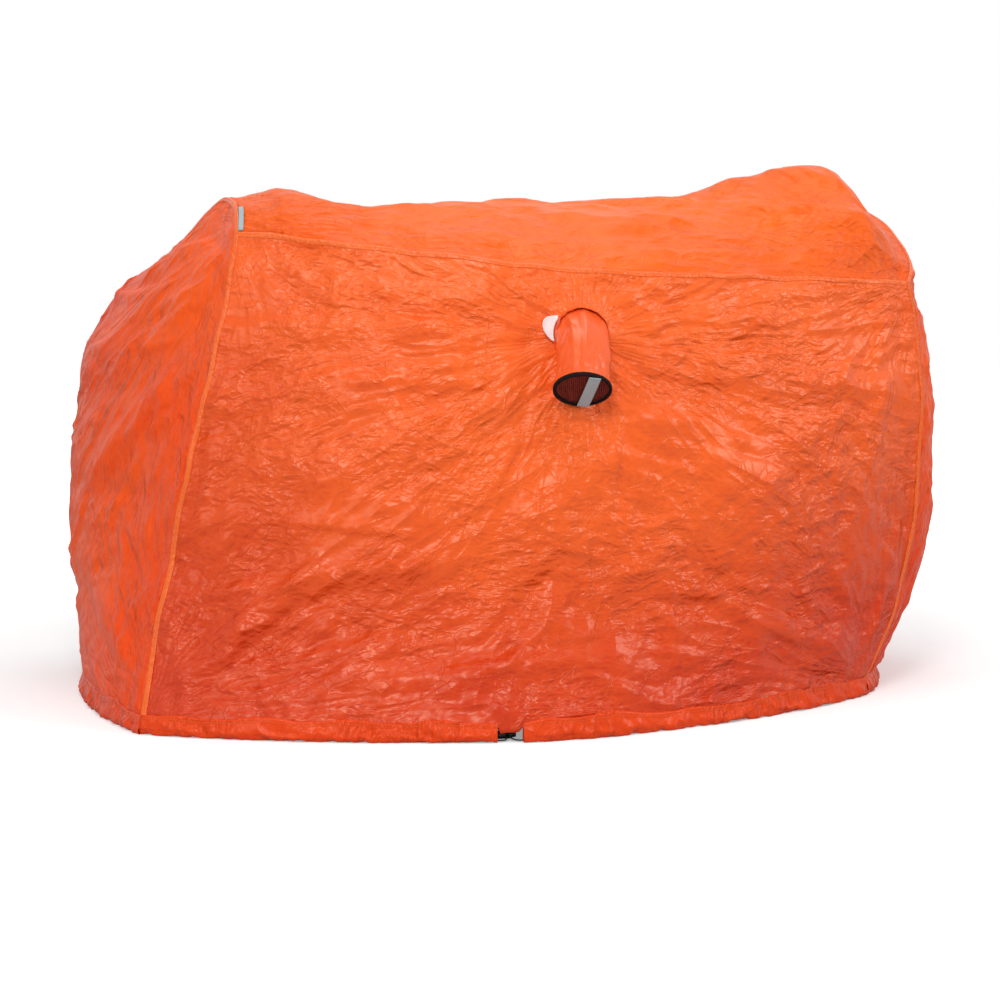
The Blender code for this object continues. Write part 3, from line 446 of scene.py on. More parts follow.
clothLook = {
    # From deep to bright: the cloth's own mottled orange, and also painted shade at the deep end and painted
    # light at the bright end
    "deep": (0.560, 0.032, 0.004, 1.0),
    "bright": (0.850, 0.120, 0.014, 1.0),
    "shine": 0.35,
    "shineTint": (1.0, 0.86, 0.68, 1.0),
    "roughness": (0.23, 0.39),
    "patches": 23.0,  # noise scale of the glossier places
    "apart": (3.7, 1.9, 0.0),  # how far each seed shifts the pattern, in metres
    "clouds": (7.0, 0.5),  # noise scale, how much they change the tone
    "warp": (7.0, 0.034),  # noise scale, metres
    # Creases round a point of pull: how many in a sixth of a turn, rings of them, how steep
    "pulled": ((12.0, 2.2, 1.00), (29.0, 5.5, 0.62), (64.0, 14.0, 0.50)),
    "sideways": 0.70,  # how much weaker they are above and below the first pull than beside it
    "settled": 0.35,  # how much pull it takes for them to show
    # Creases that run all ways: size in metres, how steep
    "crumpled": ((0.044, 0.38), (0.018, 0.41), (0.0085, 0.38)),
    "longer": (0.55, 1.0, 1.0),  # these are longer the first way
    "paintedCrestHighlight": (0.12, 0.70),  # painted highlight on the crests: where a crest starts to brighten, and how much
    # Straight creases: mesh, width and height in metres, then where they show: noise scale, from, to
    "pressed": ((0.060, 0.0016, 0.00060), (0.027, 0.0012, 0.00040)),
    "pressedPlaces": (17.0, 0.44, 0.60),
    "pressedApart": 9.0,  # meshes
    "pressedWarp": 0.35,
    # Calm places: size in metres, from, to, what is left of the creases there
    "calm": (0.19, 0.38, 0.58, 0.15),
    "weave": (1400.0, 0.03),  # noise scale, height in millimetres
}


def pulledCreases(metres, look, pulls, calm):
    # Creases that run to each point of pull, thinner the nearer they are to it. Each pull is its place
    # in metres, its reach and its strength.
    whole = None
    weights = None
    for x, y, reach, strength in pulls:
        away = metres.shifted((-x, -y, 0.0))
        far = away.length()
        near = far * (1 / reach)
        weight = (near * near * -1.0).math("EXPONENT") * strength
        if whole is None:
            upright = away.unit().xy()[1]
            weight = weight * (upright * upright * -look["sideways"] + 1.0)
        part = None
        for ways, rings, steep in look["pulled"]:
            rise = far.math("LOGARITHM", math.e) * rings
            rise = rise.node("ShaderNodeCombineXYZ", {"Z": rise})
            ridge = away.unit().scaled(ways).shifted(rise).ridges() * (steep / ways)
            part = ridge if part is None else part + ridge * calm
        part = part * far * weight
        whole = part if whole is None else whole + part
        weights = weight if weights is None else weights + weight
    return whole.math("DIVIDE", weights + look["settled"])


def clothMaterial(name, look, seed, pulls=()):
    # Thin coated nylon: mottled orange, creased all over, most of all towards the points that pull it. Its
    # colour holds painted light and shade, from the tone attribute and as painted highlights on the crests
    material, wire, shader = newMaterial(name, Specular_IOR_Level=look["shine"],
                                         Specular_Tint=look["shineTint"])
    metres = wire.node("ShaderNodeUVMap", uv_map="UVMap")
    spot = metres.shifted(tuple(seed * step for step in look["apart"]))
    scale, reach = look["warp"]
    warp = spot.noise(scale, output=1).shifted((-0.5, -0.5, -0.5)).stretched((reach, reach, 0.0))
    size, low, high, left = look["calm"]
    calm = spot.noise(1 / size).steps(low, high) * (1 - left) + left
    height = None
    for size, steep in look["crumpled"]:
        crest = spot.shifted(warp).stretched(look["longer"]).ridges(1 / size)
        height = crest * (steep * size) if height is None else height + crest * (steep * size)
    height = height * calm
    scale, low, high = look["pressedPlaces"]
    shown = spot.noise(scale, 1.0).steps(low, high)
    for size, wide, tall in look["pressed"]:
        spread = spot.shifted((size * look["pressedApart"], 0.0, 0.0))
        line = spread.shifted(warp.scaled(look["pressedWarp"])).lines(1 / size)
        height = height - line.steps(0.0, wide / size) * shown * tall
    if pulls:
        height = height + pulledCreases(metres.shifted(warp), look, pulls, calm)
    # The tone attribute is painted light and shade on the panels, and a constant on other pieces
    tone = wire.node("ShaderNodeAttribute", output=2, attribute_name="tone")
    scale, share = look["clouds"]
    start, highlightShare = look["paintedCrestHighlight"]
    clouded = tone + spot.mottled(scale, share, 3.0)
    # Painted highlight: crests are made lighter in colour, and the hollows stay deeper as painted shade
    lit = clouded.math("ADD", (crest + start) * highlightShare, clamp=True)
    plug(lit.colours(look["deep"], look["bright"]), shader, "Base Color")
    smooth, rough = look["roughness"]
    plug(spot.noise(look["patches"], 3.0) * (rough - smooth) + smooth, shader, "Roughness")
    scale, tall = look["weave"]
    bumped(height * 1000.0 + spot.noise(scale, 1.0) * tall, shader, 0.001)
    return material


def wovenStart(name, look):
    # A material with the place on a piece's own UV, in metres, then along it and across it
    material, wire, shader = newMaterial(name, Specular_IOR_Level=look["shine"])
    metres = wire.node("ShaderNodeUVMap", uv_map="UVMap")
    return material, shader, metres, *metres.xy()


def surface(shader, look, tone, gloss):
    # Colour from dark to light, and roughness that varies a little over the piece
    plug(tone.colours(look["dark"], look["light"]), shader, "Base Color")
    plug(gloss + look["roughness"], shader, "Roughness")


def wovenSurface(shader, look, strands, metres):
    share, middle = look["tone"]
    tone = (strands * share + middle).math("ADD", metres.mottled(*look["fluff"]), clamp=True)
    scale, uneven = look["gloss"]
    surface(shader, look, tone, metres.noise(scale) * uneven)


def cordMaterial(name, look):
    # Braided cord: two sets of strands that cross
    material, shader, metres, along, across = wovenStart(name, look)
    turns = 2 * math.pi / look["strand"]
    one, other = ((way * turns).math("SINE") for way in (along + across, along - across))
    braid = one.math("MAXIMUM", other)
    wovenSurface(shader, look, braid, metres)
    bumped(braid, shader, look["strand"] * look["depth"])
    return material


def webbingMaterial(name, look):
    # Woven tape: ribs across it and a herringbone of fine yarns
    material, shader, metres, along, across = wovenStart(name, look)
    ribs = (along * (2 * math.pi / look["rib"])).math("SINE")
    slant = across + ribs.math("ABSOLUTE") * look["slant"]
    yarns = (slant * (2 * math.pi / look["yarn"])).math("SINE")
    wovenSurface(shader, look, ribs * yarns, metres)
    ribShare = look["ribShare"]
    bumped(ribs * ribShare + yarns * (1 - ribShare), shader, look["rib"] * look["depth"])
    return material


def mouldedMaterial(name, look):
    # Plastic or steel on Object coordinates: a fine grain, with rubbed places
    material, wire, shader = newMaterial(name, Metallic=look["metallic"])
    spot = wire.node("ShaderNodeTexCoord", output=3)
    scale, low, high, duller = look["wear"]
    rubbed = spot.noise(scale, 4.0).steps(low, high)
    scale, uneven = look["gloss"]
    surface(shader, look, rubbed, rubbed * duller + spot.noise(scale) * uneven)
    fine, coarse, tall = look["grain"]
    bumped(spot.noise(fine) * 0.5 + spot.noise(coarse) * 0.5, shader, tall)
    return material


def threadMaterial(name, look):
    # Thread or thin yarn on Object coordinates, lighter and darker along its length
    material, wire, shader = newMaterial(name, Specular_IOR_Level=look["shine"])
    spot = wire.node("ShaderNodeTexCoord", output=3)
    scale, uneven = look["gloss"]
    surface(shader, look, spot.noise(look["patches"], 3.0), spot.noise(scale) * uneven)
    scale, tall = look["grain"]
    bumped(spot.noise(scale, 1.0), shader, tall)
    return material


# Side panels: a painted lit copy of the cloth, with lighter colours that make up for less lamp light on the
# sides
sideLitLook = {
    **clothLook, "deep": (0.690, 0.040, 0.004, 1.0), "bright": (0.930, 0.115, 0.008, 1.0),
    "shine": 0.22, "roughness": (0.34, 0.50), "longer": (1.0, 0.55, 1.0),
}
roofLook = {**clothLook, "bright": (0.840, 0.125, 0.004, 1.0), "shine": 0.22, "roughness": (0.34, 0.50)}
panelLooks = {"front": clothLook, "back": clothLook, "left": sideLitLook, "right": sideLitLook, "roof": roofLook}
seamLook = {
    **clothLook, "deep": (0.660, 0.076, 0.010, 1.0), "bright": (0.860, 0.145, 0.020, 1.0),
    "crumpled": ((0.014, 0.40), (0.006, 0.40)), "warp": (11.0, 0.010), "longer": (1.0, 1.0, 1.0),
    "pressed": (),
}
hemLook = {
    **clothLook, "deep": (0.580, 0.034, 0.005, 1.0), "bright": (0.820, 0.072, 0.008, 1.0), "shine": 0.20,
    "crumpled": ((0.026, 0.60), (0.012, 0.55), (0.006, 0.40)), "warp": (11.0, 0.016),
    "longer": (1.0, 0.6, 1.0),
}
sleeveLook = {
    **clothLook, "deep": (0.640, 0.056, 0.012, 1.0), "bright": (0.880, 0.125, 0.020, 1.0),
    "roughness": (0.24, 0.32), "crumpled": ((0.050, 0.22), (0.016, 0.10), (0.008, 0.10)), "pressed": (),
}
cordLook = {
    "dark": (0.004, 0.004, 0.005, 1.0), "light": (0.045, 0.043, 0.046, 1.0), "roughness": 0.62, "shine": 0.4,
    "strand": 0.0013, "depth": 0.12,  # its width in metres, how deep the braid is for that width
    "tone": (0.3, 0.4), "fluff": (900.0, 0.4), "gloss": (500.0, 0.2),  # noise scale, how much
}
webbingLook = {
    "dark": (0.230, 0.310, 0.330, 1.0), "light": (0.440, 0.540, 0.560, 1.0), "roughness": 0.55, "shine": 0.35,
    "rib": 0.0016, "yarn": 0.0009, "slant": 0.0003,  # metres
    "depth": 0.10, "ribShare": 0.6,
    "tone": (0.22, 0.45), "fluff": (300.0, 0.5, 3.0), "gloss": (200.0, 0.2),
}
bindingLook = {
    **webbingLook, "dark": (0.002, 0.001, 0.001, 1.0), "light": (0.016, 0.009, 0.009, 1.0),
    "rib": 0.0018, "yarn": 0.0010, "roughness": 0.80, "shine": 0.15,
}
labelLook = {
    **webbingLook, "dark": (0.88, 0.88, 0.88, 1.0), "light": (0.95, 0.95, 0.95, 1.0),
    "rib": 0.0008, "yarn": 0.0006, "roughness": 0.45, "shine": 0.3,
}
lockLook = {
    "dark": (0.008, 0.008, 0.009, 1.0), "light": (0.040, 0.040, 0.042, 1.0), "metallic": 0.0,
    "roughness": 0.34,
    "wear": (90.0, 0.52, 0.72, 0.16),  # rubbed places: noise scale, from, to, how much duller they are
    "gloss": (700.0, 0.12), "grain": (2600.0, 400.0, 0.00006),
}
springLook = {
    **lockLook, "dark": (0.420, 0.420, 0.430, 1.0), "light": (0.640, 0.640, 0.650, 1.0), "metallic": 1.0,
    "roughness": 0.18, "wear": (300.0, 0.52, 0.72, 0.16), "grain": (2600.0, 400.0, 0.00002),
}
netLook = {
    "dark": (0.060, 0.008, 0.007, 1.0), "light": (0.240, 0.032, 0.026, 1.0), "roughness": 0.65, "shine": 0.4,
    "patches": 350.0, "gloss": (900.0, 0.2), "grain": (3000.0, 0.0002),
}
threadLook = {
    **netLook, "dark": (0.700, 0.110, 0.020, 1.0), "light": (0.950, 0.300, 0.080, 1.0), "roughness": 0.50,
}

seamCloth = clothMaterial("seamCloth", seamLook, 11)
hemCloth = clothMaterial("hemCloth", hemLook, 13)
sleeveCloth = clothMaterial("sleeveCloth", sleeveLook, 17)
blackCord = cordMaterial("blackCord", cordLook)
greyWebbing = webbingMaterial("greyWebbing", webbingLook)
blackBinding = webbingMaterial("blackBinding", bindingLook)
whiteLabel = webbingMaterial("whiteLabel", labelLook)
blackPlastic = mouldedMaterial("blackPlastic", lockLook)
springSteel = mouldedMaterial("springSteel", springLook)
netYarn = threadMaterial("netYarn", netLook)
orangeThread = threadMaterial("orangeThread", threadLook)
print("materials made")


# The bag's shape, the same as in its CAD source

bag = {
    "size": (1.600, 1.110, 0.970),  # length, depth and height
    "hemCorners": {
        "front_left": (-0.4550, -0.3000), "front_right": (0.3510, -0.2700),
        "back_right": (0.3687, 0.3279), "back_left": (-0.4375, 0.3189),
    },
    "roofCorners": {
        "front_left": (-0.3362, -0.1450, 0.8474), "front_right": (0.4213, -0.1946, 0.7608),
        "back_right": (0.3844, 0.2649, 0.8144), "back_left": (-0.3719, 0.2559, 0.8200),
    },
    "hemSwing": {
        "front": [(-0.3275, -0.3980), (-0.1875, -0.4640), (-0.0531, -0.5000), (0.1031, -0.4520),
                  (0.2350, -0.3740)],
        "right": [(0.4125, -0.0865), (0.4188, 0.1297)],
        "back": [(0.1812, 0.4360), (-0.0062, 0.4631), (-0.2187, 0.4360)],
        "left": [(-0.4844, 0.1658), (-0.4938, -0.0144)],
    },
    "postBend": {
        "front_left": [(-0.4263, -0.2198, 0.2268), (-0.3950, -0.2081, 0.4639), (-0.3606, -0.1811, 0.6804)],
        "front_right": [(0.4031, -0.2261, 0.1649), (0.4312, -0.2144, 0.4330), (0.4312, -0.2036, 0.6392)],
        "back_right": [(0.3937, 0.3459, 0.2268), (0.4000, 0.3279, 0.5155)],
        "back_left": [(-0.4720, 0.3459, 0.2268), (-0.4820, 0.3414, 0.4948), (-0.4670, 0.3099, 0.6520)],
    },
    "roofBend": {
        "front": [(-0.1937, -0.2486, 0.8196), (-0.0156, -0.3117, 0.7866), (0.2125, -0.2802, 0.7711)],
        "right": [(0.4531, -0.0595, 0.8330), (0.4437, 0.1117, 0.9021)],
        "back": [(0.1812, 0.3234, 0.8144), (-0.0375, 0.3369, 0.7938), (-0.2125, 0.3099, 0.7887)],
        "left": [(-0.3656, 0.1297, 0.8460), (-0.3344, -0.0234, 0.9130)],
    },
    "bulges": {  # along, up, half width, half height, push in metres
        "front": [(0.27, 0.42, 0.22, 0.28, 0.028), (0.74, 0.45, 0.20, 0.28, 0.034)],
        "right": [(0.35, 0.42, 0.30, 0.30, 0.041)],
        "back": [(0.28, 0.50, 0.18, 0.28, 0.050), (0.70, 0.48, 0.18, 0.28, 0.060)],
        "left": [(0.35, 0.45, 0.30, 0.26, 0.014)],
        "roof": [(0.50, 0.50, 0.60, 0.36, 0.044), (0.07, 0.30, 0.09, 0.25, 0.018),
                 (0.18, 0.52, 0.11, 0.40, -0.028), (0.93, 0.22, 0.11, 0.22, 0.045),
                 (0.90, 0.60, 0.12, 0.25, 0.062)],
    },
    "folds": {  # along, up, along, up, half width and height in metres
        "front": [
            (0.40, 0.88, 0.06, 0.95, 0.024, 0.009), (0.39, 0.83, 0.05, 0.82, 0.026, 0.012),
            (0.40, 0.78, 0.08, 0.68, 0.028, 0.012), (0.41, 0.72, 0.14, 0.50, 0.030, 0.011),
            (0.53, 0.88, 0.86, 0.92, 0.024, 0.008), (0.54, 0.80, 0.93, 0.74, 0.028, 0.011),
            (0.53, 0.72, 0.78, 0.46, 0.030, 0.012), (0.46, 0.58, 0.42, 0.26, 0.032, 0.010),
            (0.03, 0.06, 0.20, 0.34, 0.026, 0.014), (0.05, 0.26, 0.34, 0.36, 0.028, 0.012),
            (0.24, 0.08, 0.58, 0.16, 0.028, 0.011), (0.96, 0.08, 0.66, 0.26, 0.030, 0.013),
            (0.96, 0.90, 0.88, 0.56, 0.028, 0.012),
        ],
        "right": [(0.08, 0.90, 0.34, 0.50, 0.034, 0.012), (0.90, 0.10, 0.50, 0.36, 0.034, 0.012)],
        "back": [
            (0.04, 0.06, 0.26, 0.36, 0.032, 0.013), (0.96, 0.06, 0.74, 0.34, 0.032, 0.013),
            (0.12, 0.84, 0.44, 0.72, 0.032, 0.011), (0.88, 0.84, 0.56, 0.70, 0.032, 0.011),
            (0.30, 0.16, 0.68, 0.12, 0.032, 0.010),
        ],
        "left": [(0.94, 0.92, 0.60, 0.66, 0.030, 0.013), (0.94, 0.70, 0.46, 0.40, 0.030, 0.012),
                 (0.92, 0.10, 0.50, 0.24, 0.030, 0.012)],
        "roof": [
            (0.04, 0.16, 0.30, 0.34, 0.028, 0.010), (0.96, 0.14, 0.72, 0.40, 0.028, 0.014),
            (0.95, 0.40, 0.74, 0.62, 0.028, 0.013), (0.36, 0.22, 0.66, 0.26, 0.030, 0.009),
            (0.06, 0.78, 0.36, 0.64, 0.030, 0.010),
        ],
    },
    "edgeFade": 0.10,
    "hemHeight": 0.0280,
    "clearance": 0.0003,
}

sides = {
    "front": ("front_left", "front_right"), "right": ("front_right", "back_right"),
    "back": ("back_right", "back_left"), "left": ("back_left", "front_left"),
}


def placed(shares):
    return tuple(share * size for share, size in zip(shares, bag["size"]))


def hemCurve(side):
    start, end = sides[side]
    plan = [bag["hemCorners"][start], *bag["hemSwing"][side], bag["hemCorners"][end]]
    return [(*placed(point), bag["hemHeight"] + bag["clearance"]) for point in plan]


def postCurve(corner):
    foot = (*placed(bag["hemCorners"][corner]), bag["hemHeight"] + bag["clearance"])
    return [foot, *[placed(point) for point in bag["postBend"][corner]], placed(bag["roofCorners"][corner])]


def roofCurve(side):
    start, end = sides[side]
    line = (bag["roofCorners"][start], *bag["roofBend"][side], bag["roofCorners"][end])
    return [placed(point) for point in line]


def panelEdges(name):
    # Bottom and top edges from left to right, then left and right edges going up
    if name == "roof":
        return roofCurve("front"), roofCurve("back")[::-1], roofCurve("left")[::-1], roofCurve("right")
    start, end = sides[name]
    return hemCurve(name), roofCurve(name), postCurve(start), postCurve(end)


def panelReach(name):
    # Rough width and height of a panel in metres
    spans = [lineLength(line) for line in panelEdges(name)]
    return (spans[0] + spans[1]) / 2, (spans[2] + spans[3]) / 2


def stretched(name, along, up):
    # The plain surface between a panel's four edges, on a grid of shares
    bottom, top, left, right = panelEdges(name)
    low, high = smoothCurve(bottom, along)[:, None], smoothCurve(top, along)[:, None]
    near, far = smoothCurve(left, up)[None], smoothCurve(right, up)[None]
    u = along[:, None, None]
    v = up[None, :, None]
    corners = ((1 - u) * (1 - v) * np.array(bottom[0]) + u * (1 - v) * np.array(bottom[-1])
               + (1 - u) * v * np.array(top[0]) + u * v * np.array(top[-1]))
    return (1 - v) * low + v * high + (1 - u) * near + u * far - corners


def gridNormals(points):
    across = np.gradient(points, axis=0)
    rise = np.gradient(points, axis=1)
    return unit(np.cross(across, rise))


def fadeIn(share, span):
    s = np.clip(np.minimum(share, 1 - share) / span, 0, 1)
    return s * s * (3 - 2 * s)


vent = {  # its place as shares of the front; sizes in metres, angles in degrees
    "along": 0.465, "up": 0.848, "radius": 0.0475, "tipRadius": 0.0470, "drop": 0.081, "slope": 55.0,
    "swing": 15.0, "wallClearance": 0.010, "collarDepth": 0.0100, "collarExtra": 0.0015,
    "bindingDepth": 0.0070, "bindingExtra": 0.0020, "leaving": 0.36, "arriving": 0.20,
    "holeInset": 0.0010, "holeReach": 0.08,
}


def relief(name, along, up):
    # How far bulges and folds stand out of the plain surface, on a grid of shares
    u = along[:, None]
    v = up[None]
    out = np.zeros((len(along), len(up)))
    for centre, middle, halfWidth, halfHeight, push in bag["bulges"][name]:
        out += push * np.exp(-((u - centre) / halfWidth) ** 2 - ((v - middle) / halfHeight) ** 2)
    width, height = panelReach(name)
    folds = np.zeros_like(out)
    clear = 1.4 * vent["radius"]  # no folds cross the vent's hole
    for fromAlong, fromUp, toAlong, toUp, halfWidth, tall in bag["folds"][name]:
        x = (u - fromAlong) * width
        y = (v - fromUp) * height
        runX = (toAlong - fromAlong) * width
        runY = (toUp - fromUp) * height
        length = math.hypot(runX, runY)
        on = np.clip((x * runX + y * runY) / length**2, 0, 1)
        aside = (x * runY - y * runX) / length
        folds += tall * np.exp(-(aside / halfWidth) ** 2) * (4 * on * (1 - on)) ** 0.75
    if name == "front":
        away = np.hypot((u - vent["along"]) * width, (v - vent["up"]) * height)
        folds *= 1 - np.exp(-(away / clear) ** 6)
    return (out + folds) * fadeIn(u, bag["edgeFade"]) * fadeIn(v, bag["edgeFade"])


def panelSurface(name, along, up):
    # Points of a panel with its main forms, and the way out of the cloth
    plain = stretched(name, along, up)
    points = plain + gridNormals(plain) * relief(name, along, up)[..., None]
    return points, gridNormals(points)


def surfacePoint(name, along, up):
    # One point of a panel and its normal
    step = np.array([-1.0, 0.0, 1.0]) * 1e-3
    points, normals = panelSurface(name, along + step, up + step)
    return points[1, 1], normals[1, 1]


# Drawcord: its tails and the knot that joins them. Routes are the same as in the CAD source.

cord = {
    "diameter": 0.0025, "spacing": 0.0034, "inside": 0.125, "ease": 0.008, "settled": 0.92, "sag": 0.25,
    # Where a tail turns in from the hem: spread, share of the way in, share of the way up
    "turn": [(4.6, 0.13, 0.10), (2.7, 0.32, 0.36), (1.5, 0.54, 0.70), (1.08, 0.74, 0.94)],
    "knotScale": 0.0024, "knotRise": 0.0026, "hemWall": 0.0011, "notchAlong": 0.439, "notchWidth": 0.042,
    "lockDiameter": 0.0140, "lockInset": 0.026, "lockTravel": 0.045, "lockGround": 0.0004,
    "lengths": (0.1378, 0.1392),
}


def hemPlan(side, shares):
    # The hem's line on the ground
    points = smoothCurve(hemCurve(side), shares)
    points[:, 2] = 0
    return points


def notchShares():
    # Where the notch for the lock starts and ends along the front
    half = cord["notchWidth"] / 2 / lineLength(hemCurve("front"))
    return cord["notchAlong"] - half, cord["notchAlong"] + half


def tailRoute(hand, low, high, knot):
    # Out of the hem, in through the lock and down to the knot
    ends = hemPlan("front", notchShares())
    centre = ends.mean(axis=0)
    mouth = ends[0] if hand < 0 else ends[1]
    wayOut = unit(centre - mouth)
    aside = hand * cord["spacing"] / 2
    rest = cord["lockInset"] - cord["lockDiameter"] / 2
    straight = cord["lockInset"] + cord["lockDiameter"] / 2 + cord["lockTravel"]
    thick = cord["diameter"]
    route = [mouth + wayOut * step + (0, 0, low) for step in (1.5 * bag["clearance"], thick, 2 * thick)]
    for spread, inset, climb in cord["turn"]:
        route.append(centre + (aside * spread, rest * inset, low + (high - low) * climb))
    for inset in (rest - thick, rest, cord["lockInset"], straight - 8 * thick, straight):
        route.append(centre + (aside, inset, high))
    runOut = cord["inside"] - cord["ease"]
    for inset, drop in ((straight + cord["ease"], cord["sag"]), (runOut, cord["settled"]),
                        (cord["inside"], 1)):
        route.append(centre + (aside, inset, high + (knot - high) * drop))
    return np.array(route)


def lockPlace():
    # Where the lock's axis crosses the notch
    middle = hemPlan("front", notchShares()).mean(axis=0)
    return middle + (0, cord["lockInset"], cord["lockDiameter"] / 2 + cord["lockGround"])


def makeCords():
    radius = cord["diameter"] / 2
    low = cord["hemWall"] + bag["clearance"] + radius
    high = cord["lockDiameter"] / 2 + cord["lockGround"]
    knotHeight = cord["knotRise"] + radius + bag["clearance"]
    first, last = notchShares()
    middle = hemPlan("front", (first, last)).mean(axis=0)
    middle = middle + (0, cord["inside"] + 3 * cord["knotScale"] + radius + bag["clearance"], knotHeight)
    turn = ringTurns(120)
    loops = np.stack([(np.sin(turn) + 2 * np.sin(2 * turn)) * cord["knotScale"],
                      (np.cos(turn) - 2 * np.cos(2 * turn)) * cord["knotScale"],
                      -np.sin(3 * turn) * cord["knotRise"]], axis=1)
    knot = tubeMesh("cordKnot", middle + loops, radius, 12, blackCord, closed=True)
    place(knot, "bag", "cord", "cord_knot")
    for name, node, hand, length in (("cordTailLeft", "cord_tail_left", -1, cord["lengths"][0]),
                                     ("cordTailRight", "cord_tail_right", 1, cord["lengths"][1])):
        path = smoothCurve(tailRoute(hand, low, high, knotHeight), np.linspace(0, 1, 140))
        tail = place(tubeMesh(name, path, radius, 12, blackCord), "bag", "cord", node)
    runs = (("front", last, 1), ("right", 0, 1), ("back", 0, 1), ("left", 0, 1), ("front", 0, first))
    path = [hemPlan(side, np.linspace(start, end, 150))[:-1] for side, start, end in runs]
    path = np.concatenate([*path, hemPlan("front", [first])]) + (0, 0, low)
    place(tubeMesh("hemCord", path, radius, 10, blackCord), "bag", "cord", "hem_cord")
    print("cords made")


makeCords()


# Creases that run out of the points where the cloth is pulled

creaseLook = {
    "front": {
        "seed": 21, "cells": (234, 210), "cut": (1.480, 0.860),
        # along, up, reach in metres, strength
        "pulls": [(0.465, 0.848, 0.62, 1.6), (0.0, 0.0, 0.75, 0.6), (0.0, 1.0, 0.50, 0.7),
                  (1.0, 1.0, 0.50, 1.0), (1.0, 0.0, 0.50, 0.8)],
        "long": 230, "medium": 620, "short": 1500,
    },
    "back": {"seed": 22, "cells": (220, 150), "cut": (1.420, 0.850),
             "pulls": [(0.0, 0.0, 0.4, 1.0), (1.0, 0.0, 0.4, 1.0), (0.0, 1.0, 0.45, 1.0),
                       (1.0, 1.0, 0.45, 1.0)],
             "long": 200, "medium": 520, "short": 1200},
    "left": {"seed": 23, "cells": (140, 200), "cut": (0.640, 0.870),
             "pulls": [(1.0, 1.0, 0.60, 1.4), (0.0, 1.0, 0.35, 0.7), (1.0, 0.0, 0.30, 0.8),
                       (0.0, 0.0, 0.3, 0.8)],
             "long": 120, "medium": 300, "short": 650},
    "right": {"seed": 24, "cells": (140, 200), "cut": (0.650, 0.880),
              "pulls": [(0.0, 1.0, 0.50, 1.2), (1.0, 1.0, 0.45, 1.0), (0.0, 0.0, 0.30, 0.8),
                        (1.0, 0.0, 0.3, 0.8)],
              "long": 120, "medium": 300, "short": 650},
    "roof": {"seed": 25, "cells": (250, 124), "cut": (1.330, 0.560),
             "pulls": [(0.0, 0.0, 0.40, 1.0), (1.0, 0.0, 0.45, 1.3), (0.0, 1.0, 0.35, 0.8),
                       (1.0, 1.0, 0.4, 1.0)],
             "long": 150, "medium": 420, "short": 900},
}

# Length, half width and height of each kind of crease, in metres, from least to most
creaseSizes = {
    "long": ((0.080, 0.320), (0.012, 0.024), (0.0020, 0.0062)),
    "medium": ((0.035, 0.120), (0.007, 0.013), (0.0008, 0.0026)),
    "short": ((0.015, 0.050), (0.0052, 0.0085), (0.0003, 0.0010)),
}
creaseShape = {
    "crest": 1.05, "blunt": 0.012,
    "pull": 0.30,  # how strongly cloth is pulled sideways everywhere
    "stray": (0.10, 0.75),  # spread of the turns where the pull is clear, and how much more where it isn't
    "few": (1.6, 1.5),  # powers that keep tall and long creases rare
    "outward": 0.68,  # share that stands out of the cloth
    "bow": 0.35, "lean": (0.6, 1.4),  # how curved, how much steeper one flank is
}

# Sizes along the edge or across and in from it or up, then heights and fades, in metres
foldLook = {
    "pucker": (0.013, 0.060), "puckerHeight": 0.0016, "puckerStart": 0.006, "puckerFade": 0.022,
    "gather": (0.036, 0.140), "gatherHeight": (0.0050, 0.6), "wander": (0.4, 0.03),
    "smallGather": (0.017, 0.060), "smallGatherHeight": (0.0022, 0.5), "gatherFade": 0.075,
    "swell": (0.17, 0.09), "swellHeight": 0.0030,
}

ventPleats = {
    # Waves in a radian and in a metre, where they start, how much they bend, height, middle, fade, start
    "sizes": ((5.2, 4.0, 40, 1, 0.0085, 0.50, 0.190, 0.035),
              (11.0, 7.0, 80, 2, 0.0040, 0.45, 0.110, 0.012)),
    "bend": (14, 2, 0.5), "seed": 61,
    "lip": (0.0075, 0.014, 0.35),  # height, reach, how far it comes down the sides
}


def between(ends, share):
    return ends[0] + (ends[1] - ends[0]) * share


def addCrease(field, xs, ys, x, y, turn, halfLong, halfWide, tall, bow, lean):
    # One ridge with a sharp crest, steeper on one flank than on the other
    reach = halfLong + halfWide
    i, k = np.searchsorted(xs, (x - reach, x + reach))
    j, m = np.searchsorted(ys, (y - reach, y + reach))
    if k <= i or m <= j:
        return
    dx = xs[i:k, None] - x
    dy = ys[None, j:m] - y
    run = (dx * math.cos(turn) + dy * math.sin(turn)) / halfLong
    aside = (dy * math.cos(turn) - dx * math.sin(turn)) / halfWide + bow * run**2
    aside = np.where(aside > 0, aside * lean, aside * (2 - lean))
    crest = np.clip(creaseShape["crest"] - np.sqrt(aside**2 + creaseShape["blunt"]), 0, None)
    field[i:k, j:m] += tall * crest * np.clip(1 - run**2, 0, None)


def pullAt(x, y, pulls, width, height):
    # Which way the cloth is pulled at a point, and how clearly. Double angles let opposite ways agree.
    most = creaseShape["pull"]
    whole = np.array([most, 0.0])
    for along, up, reach, strength in pulls:
        dx = x - along * width
        dy = y - up * height
        weight = strength * math.exp(-(math.hypot(dx, dy) / reach) ** 2)
        turn = 2 * math.atan2(dy, dx)
        whole += weight * np.array([math.cos(turn), math.sin(turn)])
        most += weight
    return math.atan2(whole[1], whole[0]) / 2, math.hypot(*whole) / most


